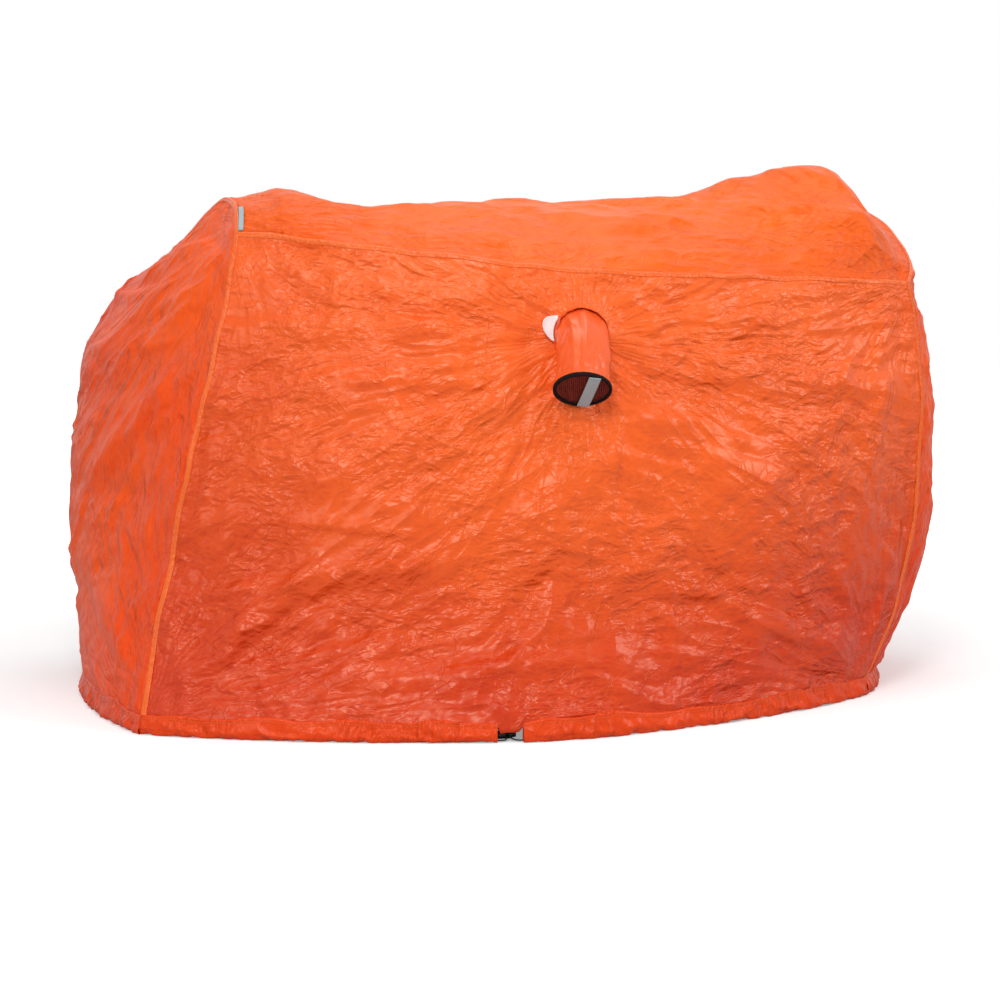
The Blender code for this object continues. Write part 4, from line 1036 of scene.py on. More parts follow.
def creases(name, xs, ys):
    # Ridges and hollows strewn over a panel along the ways it is pulled
    look = creaseLook[name]
    random = np.random.default_rng(look["seed"])
    width, height = panelReach(name)
    field = np.zeros((len(xs), len(ys)))
    least, more = creaseShape["stray"]
    fewTall, fewLong = creaseShape["few"]
    for kind, (lengths, widths, talls) in creaseSizes.items():
        for _ in range(look[kind]):
            x = random.uniform(0, width)
            y = random.uniform(0, height)
            turn, clear = pullAt(x, y, look["pulls"], width, height)
            turn += random.normal(0, least + more * (1 - clear))
            size = random.random() ** fewTall
            halfLong = between(lengths, random.random() ** fewLong) / 2
            halfWide = between(widths, random.random())
            tall = between(talls, size) * (1 if random.random() < creaseShape["outward"] else -1)
            addCrease(field, xs, ys, x, y, turn, halfLong, halfWide, tall,
                      random.normal(0, creaseShape["bow"]), random.uniform(*creaseShape["lean"]))
    return field


def folded(x, y, size, seed):
    # Noise over a grid from its first and its second place, with features of the given size
    return gradientNoise(*np.broadcast_arrays(x / size[0], y / size[1]), seed)


def seamPuckers(name, xs, ys):
    # Short gathers square to a panel's seams, dying out within a few centimetres
    width, height = panelReach(name)
    x = xs[:, None]
    y = ys[None]
    out = np.zeros((len(xs), len(ys)))
    edges = [(x, y), (width - x, y), (height - y, x)]
    if name == "roof":
        edges.append((y, x))
    for count, (away, run) in enumerate(edges, 1):
        wave = folded(run, away, foldLook["pucker"], creaseLook[name]["seed"] + count * 7)
        begun = 1 - np.exp(-(away / foldLook["puckerStart"]) ** 2)
        faded = np.exp(-away / foldLook["puckerFade"])
        out += foldLook["puckerHeight"] * (1 - 2 * np.abs(wave)) * begun * faded
    return out


def hemGathers(name, xs, ys):
    # The cloth bunches up where it comes down to its hem
    seed = creaseLook[name]["seed"] + 50
    x = xs[:, None]
    y = ys[None]
    sideways, size = foldLook["wander"]
    coarse, fine = foldLook["gather"], foldLook["smallGather"]
    wave = gradientNoise(x / coarse[0] + sideways * np.sin(y / size), x * 0 + y / coarse[1], seed)
    finer = folded(x, y, fine, seed + 1)
    (tall, middle), (smallTall, smallMiddle) = foldLook["gatherHeight"], foldLook["smallGatherHeight"]
    low = np.exp(-(y / foldLook["gatherFade"]) ** 2)
    return (tall * (middle - np.abs(wave)) + smallTall * (smallMiddle - np.abs(finer))) * low


def ventPull(xs, ys):
    # Pleats round the vent and a lip of cloth that stands over the upper half of its edge
    width, height = panelReach("front")
    dx = xs[:, None] - vent["along"] * width
    dy = ys[None] - vent["up"] * height
    away = np.hypot(dx, dy)
    turn = np.arctan2(dy, dx)
    edge = np.clip(away - vent["radius"], 0, None)
    out, about, share = ventPleats["bend"]
    bend = share * gradientNoise(away * out, turn * about, ventPleats["seed"])
    pleats = np.zeros_like(away)
    for count, (waves, out, first, bends, tall, middle, fade, start) in enumerate(ventPleats["sizes"], 1):
        wave = gradientNoise(turn * waves + first + bends * bend, away * out, ventPleats["seed"] + count)
        pleats += tall * (middle - np.abs(wave)) * np.exp(-edge / fade) * (1 - np.exp(-(edge / start) ** 2))
    tall, reach, down = ventPleats["lip"]
    top = np.clip(np.sin(turn) + down, 0, 1)
    return pleats + tall * top * np.exp(-(edge / reach) ** 2)


# Painted light and shade on each panel: lighter towards the top and in some lit patches, the deep colour
# where shade falls lower down
paintedLightSpots = {  # painted light, how much brighter than the deep tone: along, up, half width, half height, share
    "front": [(0.37, 0.56, 0.32, 0.36, 0.80), (0.50, 1.00, 0.90, 0.36, 0.95),
              (0.62, 0.55, 0.14, 0.25, 0.45), (0.90, 0.72, 0.30, 0.36, 0.55)],
    "left": [(0.80, 0.90, 0.60, 0.28, 0.70), (0.50, 0.30, 0.60, 0.50, 0.50)],
    "right": [(0.20, 0.80, 0.50, 0.40, 0.70)],
    "back": [(0.50, 0.90, 0.80, 0.40, 0.85), (0.35, 0.50, 0.25, 0.30, 0.50)],
    "roof": [(0.50, 0.50, 0.90, 0.90, 0.98)],
}


# Painted light: how lit each point of a panel is painted, from 0 at the deep, shaded colour to 1
def paintedLightOf(name, along, up):
    dark = np.ones((len(along), len(up)))
    for centre, middle, halfWidth, halfHeight, share in paintedLightSpots[name]:
        x, y = (along[:, None] - centre) / halfWidth, (up[None] - middle) / halfHeight
        dark *= 1 - share * np.exp(-x**2 - y**2)
    return 1 - dark


# The cloth that hangs into the hem's notch: metres, then the size and share of its unevenness
notchFlap = {"side": 0.0032, "reach": 0.045, "drop": 0.0135, "uneven": (0.012, 0.3), "seed": 91}
clothThickness = 0.0007
seamTuck = 0.0028  # how far a panel's edge stops short of the seam line, under the seam's tape
seamCalm = 0.012  # creases grow from nothing at the seam to their full height here


def ventFrame():
    # Centre of the hole, the way right, the way up the wall and the way out
    root, normal = surfacePoint("front", vent["along"], vent["up"])
    out = unit(np.array([0.0, normal[1], normal[2]]))
    right = np.array([1.0, 0.0, 0.0])
    return root, right, np.cross(out, right), out


swayLook = {
    "reach": (0.0042, 0.0042, 0.0034), "floor": (0.030, 0.120), "vent": 0.085, "seed": 81,
    # Sizes of the waves across, in and out, and up and down
    "sizes": ((0.085, 0.120), (0.100, 0.080), (0.075, 0.080)), "slant": 0.4,
}


def swayed(points):
    # Shifts the cloth a little, by place alone, so that seams aren't quite straight and panels still meet
    x, y, z = np.moveaxis(points, -1, 0)
    waves = []
    for count, (one, other) in enumerate(((z, x), (z, x), (x, y))):
        first, second = swayLook["sizes"][count]
        slant = y / swayLook["slant"] if count == 0 else 0
        waves.append(gradientNoise(one / first + slant, other / second, swayLook["seed"] + count))
    low, high = swayLook["floor"]
    rise = np.clip((z - low) / (high - low), 0, 1)
    away = np.linalg.norm(points - ventFrame()[0], axis=-1) / swayLook["vent"]
    share = rise * rise * (3 - 2 * rise) * (1 - np.exp(-away**4))
    return points + np.stack(waves, axis=-1) * np.array(swayLook["reach"]) * share[..., None]


def finished(name, along, up):
    # Points of a panel with all its creases, and the way out of the cloth, on a grid of shares
    points, normals = panelSurface(name, along, up)
    width, height = panelReach(name)
    xs = along * width
    ys = up * height
    rising, falling = (np.clip(away / seamCalm, 0, 1) for away in (ys, height - ys))
    fine = creases(name, xs, ys)
    seed = creaseLook[name]["seed"] + 30
    fine += foldLook["swellHeight"] * folded(xs[:, None], ys[None], foldLook["swell"], seed)
    if name != "roof":
        fine += hemGathers(name, xs, ys)
    fine *= fadeIn(along[:, None], seamCalm / width) * (rising * falling)[None]
    fine += seamPuckers(name, xs, ys) * rising[None]
    if name == "front":
        fine += ventPull(xs, ys) * falling[None]
    points = swayed(points + normals * fine[..., None])
    return points, gridNormals(points)


def makePanel(name):
    look = creaseLook[name]
    width, height = panelReach(name)
    columns, rows = look["cells"]
    along = np.linspace(seamTuck / width, 1 - seamTuck / width, columns + 1)
    up = np.linspace(seamTuck / height if name == "roof" else 0, 1 - seamTuck / height, rows + 1)
    points, normals = finished(name, along, up)
    cells = None
    if name == "front":
        first, last = notchShares()
        inside = np.clip(np.minimum(along - first, last - along) * width / notchFlap["side"], 0, 1)
        share = np.clip(1 - up * height / notchFlap["reach"], 0, 1) ** 2
        size, uneven = notchFlap["uneven"]
        wave = gradientNoise(along * width / size, along * 0, notchFlap["seed"])
        drop = notchFlap["drop"] * (1 + uneven * wave)
        points[..., 2] -= (inside * drop)[:, None] * share[None]
        points, cells = cutVent(points)
        normals = gridNormals(points)
    half = normals * clothThickness / 2
    pulls = [(x * width, y * height, reach, strength) for x, y, reach, strength in look["pulls"]]
    material = clothMaterial(name + "Cloth", panelLooks[name], look["seed"], pulls)
    # The panel's tone attribute is its painted light and shade
    piece = makeLayer(name + "Panel", points + half, points - half, along[:, None] * width,
                      up[None] * height, material, paintedLightOf(name, along, up), cells)
    return place(piece, "bag", "orange_cloth", name + "_panel")


def declarePanel(name):
    shares = np.linspace(0, 1, 60)
    plain = stretched(name, shares, shares)
    across = plain[1:, :-1] - plain[:-1, :-1]
    rise = plain[:-1, 1:] - plain[:-1, :-1]


def cutVent(points):
    # Leaves out the cells inside the vent's hole and draws the ones on its edge out to a round
    root, right, rise, out = ventFrame()
    hole = vent["radius"] - vent["holeInset"]
    x = (points - root) @ right
    y = (points - root) @ rise
    far = np.hypot(x, y)
    inside = (far < hole) & (np.abs((points - root) @ out) < vent["holeReach"])
    whole = inside[:-1, :-1] & inside[1:, :-1] & inside[1:, 1:] & inside[:-1, 1:]
    push = np.where(inside, hole / np.maximum(far, 1e-6) - 1, 0)[..., None]
    touching = np.zeros_like(inside)
    for a in (slice(None, -1), slice(1, None)):
        for b in (slice(None, -1), slice(1, None)):
            touching[a, b] |= ~whole
    moved = points + (right * x[..., None] + rise * y[..., None]) * push
    return np.where((inside & touching)[..., None], moved, points), ~whole


panels = {name: makePanel(name) for name in creaseLook}
print("panels made")


# Felled seams with their stitches

seamBand = {
    # Distances from the seam line in metres, on the panel beside it and on the one it is sewn down on
    "beside": (0.0012, 0.0026, 0.0036),
    "sewn": (0.0012, 0.0026, 0.0042, 0.0058, 0.0068),
    "lifts": (0.0007, 0.0013, 0.0017, 0.0019, 0.0018, 0.0017, 0.0016, 0.0014, 0.0007),
    "under": 0.0001, "step": 0.0034, "tone": 0.6, "stitchRows": (4, 7), "stitchLift": 0.0002,
    "corners": {  # the panel it is sewn down on and its edge, then the panel beside it
        "front_left": ("front", "left", "left", "right"),
        "front_right": ("front", "right", "right", "left"),
        "back_right": ("back", "left", "right", "right"),
        "back_left": ("back", "right", "left", "left"),
    },
    "roofEdges": {"front": ("bottom", False), "right": ("right", False), "back": ("top", True),
                  "left": ("left", True)},
}
stitchLook = {"Pitch": 0.0050, "Length": 0.0036, "Width": 0.0008, "Uneven": 0.12, "Seed": 5}
stitchLines = []


def edgeBand(name, edge, shares, insets, backwards=False):
    # Points and normals of a panel at some distances in from one of its edges, one row for each distance
    width, height = panelReach(name)
    insets = np.asarray(insets)
    run = 1 - shares[::-1] if backwards else shares
    upright = edge in ("left", "right")
    near = insets / (width if upright else height)
    if edge in ("right", "top"):
        near = 1 - near[::-1]
    grids = finished(name, near, run) if upright else finished(name, run, near)
    rows = []
    for grid in grids:
        grid = grid if upright else grid.transpose(1, 0, 2)
        grid = grid[::-1] if edge in ("right", "top") else grid
        rows.append(grid[:, ::-1] if backwards else grid)
    return rows


def makeSeam(name, node, line, sewnOn, beside):
    # A strip over the joint of two panels, which follows the creases of both
    steps = round(lineLength(line) / seamBand["step"])
    shares = np.linspace(0, 1, steps + 1)
    near, nearNormals = edgeBand(*sewnOn[:2], shares, (0, *seamBand["sewn"]), *sewnOn[2:])
    far, farNormals = edgeBand(*beside[:2], shares, (0, *seamBand["beside"]), *beside[2:])
    edge = (near[:1] + far[:1]) / 2
    edgeNormals = unit(nearNormals[:1] + farNormals[:1])
    base = np.concatenate([far[:0:-1], edge, near[1:]])
    normals = np.concatenate([farNormals[:0:-1], edgeNormals, nearNormals[1:]])
    normals[2:5] = unit(normals[1:4] + normals[2:5] + normals[3:6])
    outer = base + normals * np.array(seamBand["lifts"])[:, None, None]
    inner = base + normals * seamBand["under"]
    across = np.concatenate([-np.array(seamBand["beside"])[::-1], [0], seamBand["sewn"]])
    run = shares * steps * seamBand["step"]
    piece = makeLayer(name, outer, inner, run[None], across[:, None], seamCloth, seamBand["tone"])
    for row in seamBand["stitchRows"]:
        stitchLines.append(outer[row] + normals[row] * seamBand["stitchLift"])
    return place(turnedOut(piece), "bag", "seam_cloth", node)


def titled(words):
    return "".join(word.capitalize() for word in words.split("_"))


def makeSeams():
    made = {}
    for corner, (name, edge, other, otherEdge) in seamBand["corners"].items():
        made[corner] = makeSeam("cornerSeam" + titled(corner), "corner_seam_" + corner, postCurve(corner),
                                (name, edge), (other, otherEdge))
    for side, (edge, backwards) in seamBand["roofEdges"].items():
        made[side] = makeSeam("roofSeam" + titled(side), "roof_seam_" + side, roofCurve(side),
                              (side, "top"), ("roof", edge, backwards))
    return made


seams = makeSeams()
print("seams made")


# Hem

hemShape = {
    # The outline across the hem, as distances outwards and up: round the foot, up the front, over the
    # stitched top and down the back
    "outline": [(0.0, 0.0006), (0.0062, 0.0006), (0.0098, 0.0035), (0.0112, 0.0090), (0.0084, 0.0170),
                (0.0044, 0.0250), (0.0026, 0.0305), (0.0, 0.0318), (-0.0026, 0.0305), (-0.0044, 0.0250),
                (-0.0080, 0.0170), (-0.0106, 0.0090), (-0.0094, 0.0035), (-0.0060, 0.0006)],
    "around": 36, "step": 0.0035, "wall": 0.0010, "middle": (0.0, 0.011),
    "stitchHeight": 0.0262, "stitchLift": 0.0003,
    "gathers": ((0.075, 0.0050), (0.026, 0.0034), (0.011, 0.0012)),  # size along, depth
    "gatherForm": (0.35, 1.6),  # how far a gather stands out, how much deeper it goes in
    "calmer": (1.25, 0.030, 0.12),  # gathers die out up the hem: share at the ground, height, least
    "floor": 0.0004, "rise": (0.110, 0.38, 0.35), "upper": 0.012, "endFade": 0.03, "seed": 70,
    "mitre": 0.004,  # share of the next run that sets the turn of a corner
}


def outwardOf(path, before=None, after=None):
    # The level way out of the bag at each point of the hem line
    ahead = np.diff(path, axis=0)
    first = ahead[:1] if before is None else path[:1] - before
    last = ahead[-1:] if after is None else after - path[-1:]
    way = unit(unit(np.concatenate([first, ahead])) + unit(np.concatenate([ahead, last])))
    return np.stack([way[:, 1], -way[:, 0], np.zeros(len(path))], axis=1)


def makeHem(name, node, side, first, last):
    # One run of the gathered channel that the drawcord lies in
    look = hemShape
    length = lengthOf(hemPlan(side, np.linspace(first, last, 120)))
    steps = round(length / look["step"])
    path = hemPlan(side, np.linspace(first, last, steps + 1))
    order = list(sides)
    here = order.index(side)
    before = hemPlan(order[here - 1], [1 - look["mitre"]]) if first == 0 else None
    after = hemPlan(order[(here + 1) % 4], [look["mitre"]]) if last == 1 else None
    outward = outwardOf(path, before, after)
    outline = np.array(look["outline"] + look["outline"][:1])
    section = smoothCurve(outline, np.linspace(0, 1, look["around"] + 1))[:-1]
    heights = section[:, 1:]
    middle = np.array(look["middle"])
    away = section - middle
    reach = np.linalg.norm(away, axis=1, keepdims=True)
    run = np.linspace(0, length, steps + 1)
    spot = np.arange(look["around"])[:, None] / look["around"] * 3
    seed = look["seed"] + here + (5 if first else 0)
    swell = np.zeros((look["around"], steps + 1))
    standing, deeper = look["gatherForm"]
    for k, (size, depth) in enumerate(look["gathers"]):
        wave = gradientNoise(run[None] / size + 0.3 * spot, run[None] * 0 + (spot * 1.1 + 9), seed + 11 * k)
        swell += depth * (standing - np.abs(wave) * deeper)
    most, size, least = look["calmer"]
    swell *= np.clip(most - heights / size, least, 1)
    size, tall, more = look["rise"]
    rise = tall * np.clip(gradientNoise(run / size, run * 0 + 3.7, seed + 40) + more, 0, 1)
    ends = np.clip(np.minimum(run, length - run) / look["endFade"], 0, 1)
    lifted = np.clip((heights - look["upper"]) / look["upper"], 0, 1) * (rise * ends)[None]
    shells = []
    for wall in (0.0, look["wall"]):
        flat = middle + away[:, None] * (1 + (swell - wall)[..., None] / reach[:, None])
        flat[..., 1] *= 1 + lifted
        points = path[None] + outward[None] * flat[..., :1]
        points[..., 2] = np.maximum(flat[..., 1], look["floor"] + wall)
        shells.append(points)
    around = lengthOf(outline)
    rows = np.arange(look["around"])[:, None] / look["around"] * around
    piece = makeLayer(name, *shells, run[None], rows, hemCloth, around=around)
    row = int(np.argmin(np.abs(section[:, 1] - look["stitchHeight"]) + (section[:, 0] < 0)))
    stitchLines.append(shells[0][row] + outward * look["stitchLift"])
    return place(turnedOut(piece), "bag", "hem_cloth", node)


def makeHems():
    left, right = notchShares()
    runs = {"front_left": ("front", 0, left), "front_right": ("front", right, 1),
            "right": ("right", 0, 1), "back": ("back", 0, 1), "left": ("left", 0, 1)}
    return {run: makeHem("hem" + titled(run), "hem_" + run, *where) for run, where in runs.items()}


hems = makeHems()
print("hem made")


# Vent: collar, sleeve, mouth and label

def tipFrame():
    # Centre of the sleeve's mouth, the way right, the way up across it and the way it points
    root, _, _, out = ventFrame()
    slope = math.radians(vent["slope"])
    swing = math.radians(vent["swing"])
    level = np.array([-math.sin(swing), -math.cos(swing), 0.0])
    lift = np.array([0.0, 0.0, 1.0])
    pointsTo = math.cos(slope) * level - math.sin(slope) * lift
    top = math.sin(slope) * level + math.cos(slope) * lift
    reach = vent["tipRadius"] + vent["bindingExtra"]
    away = vent["wallClearance"] + vent["drop"] * (lift @ out) + reach * (top @ out)
    centre = root + level * away / (level @ out) - lift * vent["drop"]
    return centre, np.cross(lift, level), top, pointsTo


collarLook = {
    "around": 180, "rows": 9, "inside": 0.0472, "outside": 0.0535, "low": -0.004, "high": 0.0085,
    "lip": 0.0065, "upper": 0.25, "wall": 0.0008, "tone": 0.3,
    "wave": (3.4, 0.0012, 0.0022), "ruffle": (2.6, -0.0022, 0.0028),  # waves in a radian, in, out
    "flare": (0.7, 1.6, 1.5), "seed": 41,
}


def makeCollar():
    # A ring of gathered cloth round the hole, with a lip that stands out over the sleeve's upper half
    root, right, rise, out = ventFrame()
    look = collarLook
    turn = ringTurns(look["around"], math.pi / 2)
    share = np.linspace(0, 1, look["rows"])[None]
    waves, waveIn, waveOut = look["wave"]
    ruffles, ruffleIn, ruffleOut = look["ruffle"]
    wave = gradientNoise(turn * waves + 40, turn * 0, look["seed"])[:, None]
    ruffle = (1 - 2 * np.abs(gradientNoise(turn * ruffles + 40, turn * 0 + 5, look["seed"] + 1)))[:, None]
    upper = np.clip(np.sin(turn) + look["upper"], 0, 1)[:, None]
    taper, climb, lipped = look["flare"]
    radius = look["outside"] + (look["inside"] - look["outside"]) * share**taper
    radius = radius + (waveIn * wave + ruffleIn * ruffle) * share
    height = look["low"] + (look["high"] - look["low"]) * share**climb
    height = height + (look["lip"] * upper + waveOut * wave + ruffleOut * ruffle) * share**lipped
    ways = spokes(turn, right, rise)[:, None]
    shells = [root + ways * (radius - wall)[..., None] + out * (height - wall)[..., None]
              for wall in (0.0, look["wall"])]
    run = (turn - turn[0])[:, None] * look["outside"]
    piece = makeLayer("ventCollar", *shells, height, run, sleeveCloth, look["tone"],
                      around=2 * math.pi * look["outside"])
    return place(turnedOut(piece), "bag", "hem_cloth", "vent_collar")


sleeveShape = {
    "around": 180, "along": 72, "wall": 0.0007, "seed": 31, "creases": 60, "extra": 0.0004, "tone": 0.55,
    # Half length, half width and height of its creases: least, and how much more the biggest has
    "sizes": ((0.010, 0.035), (0.005, 0.007), (0.0005, 0.0016)),
    "stray": 0.7, "bow": 0.4, "lean": (0.6, 1.4),
    "sag": (1.15, 1.7, 0.0020),  # waves in a radian and along it, depth
    "fade": (0.12, 0.10, 0.04),  # creases grow from nothing: at the root, at the mouth, beside the seam
    "seam": 0.012, "bend": (0.031, 0.072), "bendTilt": 18.0, "faceHalf": 0.45, "flat": 0.0042,
    # Where the ridges start, in degrees from the right side up, and how far they turn on the way down
    "ridges": ((124, -16), (84, 10), (34, -12), (-20, 10), (-72, 0), (-126, 8), (176, -12)),
}


def sleeveRings(shares, turns, radiusExtra=0.0):
    # Points of the sleeve at some shares of its length and turns round it, turns on the first axis
    root, _, _, out = ventFrame()
    tip, _, _, tipOut = tipFrame()
    start = root + out * (vent["collarDepth"] / 2 + bag["clearance"])
    reach = np.linalg.norm(tip - start)
    leaving = start + unit(out + tipOut) * reach * vent["leaving"]
    arriving = tip - tipOut * reach * vent["arriving"]
    t = shares[:, None]
    centre = ((1 - t) ** 3 * start + 3 * (1 - t) ** 2 * t * leaving + 3 * (1 - t) * t**2 * arriving
              + t**3 * tip)
    facing = unit((1 - t) * out + t * tipOut)
    side = unit(np.cross((0, 0, 1), facing))
    top = np.cross(facing, side)
    radius = vent["radius"] + (vent["tipRadius"] - vent["radius"]) * shares + radiusExtra
    return centre[None] + spokes(turns[:, None], side, top) * radius[..., None], lengthOf(centre)


def makeSleeve():
    # A limp tube with soft ridges along it
    look = sleeveShape
    turns = ringTurns(look["around"], math.pi / 2)
    shares = np.linspace(0, 1, look["along"] + 1)
    _, length = sleeveRings(shares, turns)
    xs = (turns - turns[0]) * vent["radius"]
    ys = shares * length
    random = np.random.default_rng(look["seed"])
    field = np.zeros((len(xs), len(ys)))
    for _ in range(look["creases"]):
        big = random.random() ** 2
        halfLong, halfWide, tall = (least + more * big for least, more in look["sizes"])
        addCrease(field, xs, ys, random.uniform(0, xs[-1]), random.uniform(0, length),
                  math.pi / 2 + random.normal(0, look["stray"]), halfLong, halfWide,
                  tall * (1 if random.random() < 0.5 else -1),
                  random.normal(0, look["bow"]), random.uniform(*look["lean"]))
    about, down, deep = look["sag"]
    spot = np.broadcast_arrays(turns[:, None] * about + 20, shares[None] * down + 3)
    sag = deep * gradientNoise(*spot, look["seed"])
    root, mouth, seam = look["fade"]
    fade = np.clip(shares / root, 0, 1) * np.clip((1 - shares) / mouth, 0, 1)
    seamless = fadeIn(np.arange(look["around"])[:, None] / look["around"], seam)
    apart = np.full((len(xs), len(ys)), 1.0)
    for ridge, drift in look["ridges"]:
        off = turns[:, None] - math.radians(ridge) - math.radians(drift) * shares[None]
        apart = np.minimum(apart, np.abs((off + math.pi) % (2 * math.pi) - math.pi) / look["faceHalf"])
    flat = look["flat"] * np.clip(apart, 0, 1) * (2 - np.clip(apart, 0, 1))
    extra = (field + sag - flat) * fade[None] * seamless + look["extra"]
    outer, inner = (sleeveRings(shares, turns, extra - wall)[0] for wall in (0.0, look["wall"]))
    around = 2 * math.pi * vent["radius"]
    piece = makeLayer("ventSleeve", outer, inner, ys[None], xs[:, None], sleeveCloth, look["tone"],
                      around=around)
    turnedOut(piece)
    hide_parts("vent_sleeve")
    tilt = math.radians(look["bendTilt"])
    way = np.array([0.0, -math.cos(tilt), -math.sin(tilt)])
    start, end = (tuple(ventFrame()[0] + way * reach) for reach in look["bend"])
    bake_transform(piece)
    length + look["seam"]


bindingShape = {
    "around": 120, "section": 16, "wide": 0.00275, "deep": 0.00355, "square": 0.7,
    "fuller": (0.22, 50, 0.05), "seed": 51,  # share, where in degrees, unevenness
    "girth": 0.020,
}


def makeBinding():
    # Folded tape round the mouth's edge, fuller at the lower left
    look = bindingShape
    tip, right, top, out = tipFrame()
    turn = ringTurns(look["around"])
    outerRadius = vent["tipRadius"] + vent["bindingExtra"]
    more, where, uneven = look["fuller"]
    fuller = (1 + more * np.clip(-np.cos(turn - math.radians(where)), 0, 1)
              + uneven * gradientNoise(turn * 4, turn * 0, look["seed"]))
    section = ringTurns(look["section"])
    across, up = (np.sign(way) * np.abs(way) ** look["square"]
                  for way in (np.cos(section), np.sin(section)))
    half = look["wide"] * fuller[:, None]
    radius = outerRadius - half + half * across
    height = bag["clearance"] + look["deep"] + look["deep"] * up
    rings = tip + spokes(turn, right, top)[:, None] * radius[..., None] + out * height[:, None]
    run = section / (2 * math.pi) * look["girth"]
    uv = np.stack(np.broadcast_arrays((turn * outerRadius)[:, None], run[None]), axis=-1)
    faces = ringFaces(len(turn), look["section"], closed=True)
    piece = makeMesh("mouthBinding", rings, faces, blackBinding, uv)
    return place(turnedOut(piece), "vent", "binding", "mesh_binding")


def newTree(name, inputs):
    # A node group with a geometry and the given inputs, and a wire from each of them
    tree = bpy.data.node_groups.new(name, "GeometryNodeTree")
    for asked, kind in {"Geometry": "Geometry", **inputs}.items():
        tree.interface.new_socket(asked, in_out="INPUT", socket_type="NodeSocket" + kind)
    tree.interface.new_socket("Geometry", in_out="OUTPUT", socket_type="NodeSocketGeometry")
    entry = Wire(tree).node("NodeGroupInput")
    return tree, entry, {asked: entry.other(asked) for asked in ("Geometry", *inputs)}


def giveOut(geometry, material):
    # Ends a node group: its geometry gets the material and goes out
    made = geometry.node("GeometryNodeSetMaterial", {"Geometry": geometry, "Material": material})
    geometry.node("NodeGroupOutput", {"Geometry": made})


def addTubes(name, lines, sizes, sides, material):
    # Every line becomes a thin tube, made in Geometry Nodes, with a radius for each of its points
    mesh = lineMesh(name, lines)
    attribute = mesh.attributes.new("size", "FLOAT", "POINT")
    attribute.data.foreach_set("value", np.array(sizes, np.float32))
    tree, wire, asked = newTree(name + "Tubes", {"Sides": "Int"})
    curve = wire.node("GeometryNodeMeshToCurve", {"Mesh": asked["Geometry"]})
    size = wire.node("GeometryNodeInputNamedAttribute", {"Name": "size"}, data_type="FLOAT")
    sized = wire.node("GeometryNodeSetCurveRadius", {"Curve": curve, "Radius": size})
    ring = {"Resolution": asked["Sides"], "Radius": 1.0}
    profile = wire.node("GeometryNodeCurvePrimitiveCircle", ring)
    tubes = wire.node("GeometryNodeCurveToMesh",
                      {"Curve": sized, "Profile Curve": profile, "Scale": size, "Fill Caps": True})
    giveOut(tubes, material)
    return applied(name, mesh, tree, {"Sides": sides})


def lineMesh(name, lines):
    # A mesh of edges alone, one run of them for each line of points
    edges = []
    first = 0
    for line in lines:
        edges += [(first + k, first + k + 1) for k in range(len(line) - 1)]
        first += len(line)
    mesh = bpy.data.meshes.new(name)
    mesh.from_pydata(np.concatenate(lines).tolist(), edges, [])
    return mesh


def applied(name, mesh, tree, values):
    # The node group's result as a plain mesh of its own
    source = bpy.data.objects.new(name + "Lines", mesh)
    bpy.context.scene.collection.objects.link(source)
    modifier = source.modifiers.new("nodes", "NODES")
    modifier.node_group = tree
    for item in tree.interface.items_tree:
        if item.in_out == "INPUT" and item.name in values:
            modifier[item.identifier] = values[item.name]
    graph = bpy.context.evaluated_depsgraph_get()
    made = bpy.data.meshes.new_from_object(source.evaluated_get(graph), depsgraph=graph)
    bpy.data.objects.remove(source, do_unlink=True)
    piece = bpy.data.objects.new(name, made)
    bpy.context.scene.collection.objects.link(piece)
    return piece


netShape = {
    "ribs": (0.0033, 0.00130), "yarns": (0.0024, 0.00045),  # pitch, thickness
    "inset": 0.0030, "depth": 0.0030, "sag": 0.0016, "wander": (0.0005, 0.016), "seed": 52, "sides": 5,
}


def makeNet():
    # Thick ribs one way and thin yarns the other, sagging a little into the mouth
    look = netShape
    tip, right, top, out = tipFrame()
    reach = vent["tipRadius"] + vent["bindingExtra"] - look["inset"]
    depth = bag["clearance"] + vent["bindingDepth"] - look["depth"]
    wide, long = look["wander"]
    lines = []
    sizes = []
    layer = 0.0
    for one, other, (pitch, thick) in ((top, right, look["ribs"]), (right, top, look["yarns"])):
        count = int(reach / pitch)
        for k in range(-count, count + 1):
            aside = k * pitch
            half = math.sqrt(reach**2 - aside**2)
            along = np.linspace(-half, half, 16)
            wander = wide * gradientNoise(along / long + k * 0.31, along * 0 + k * 0.17, look["seed"])
            sag = look["sag"] * (1 - (along**2 + aside**2) / reach**2)
            lines.append(tip + one * along[:, None] + other * (aside + wander)[:, None]
                         + out * (depth - layer - sag)[:, None])
            sizes += [thick / 2] * len(along)
        layer += thick / 2
    net = addTubes("ventNet", lines, sizes, look["sides"], netYarn)
    return place(net, "vent", "mesh", "vent_mesh")


def tapeMesh(name, middles, wides, ups, width, thickness, material):
    # Flat tape through a row of middle points, with the way across it and the way up from it
    across = np.linspace(-1, 1, 9)
    edge = np.sqrt(np.clip(1 - np.abs(across) ** 8, 0.05, 1))  # thins out to its rims
    base = middles[None] + wides[None] * (across * width / 2)[:, None, None]
    lift = ups[None] * (edge * thickness / 2)[:, None, None]
    return turnedOut(makeLayer(name, base + lift, base - lift, runAlong(middles)[None],
                               (across * width / 2)[:, None], material))


strapShape = {"width": 0.0200, "thickness": 0.0015, "bow": 0.0010, "turn": 12.0, "offset": 0.0110}


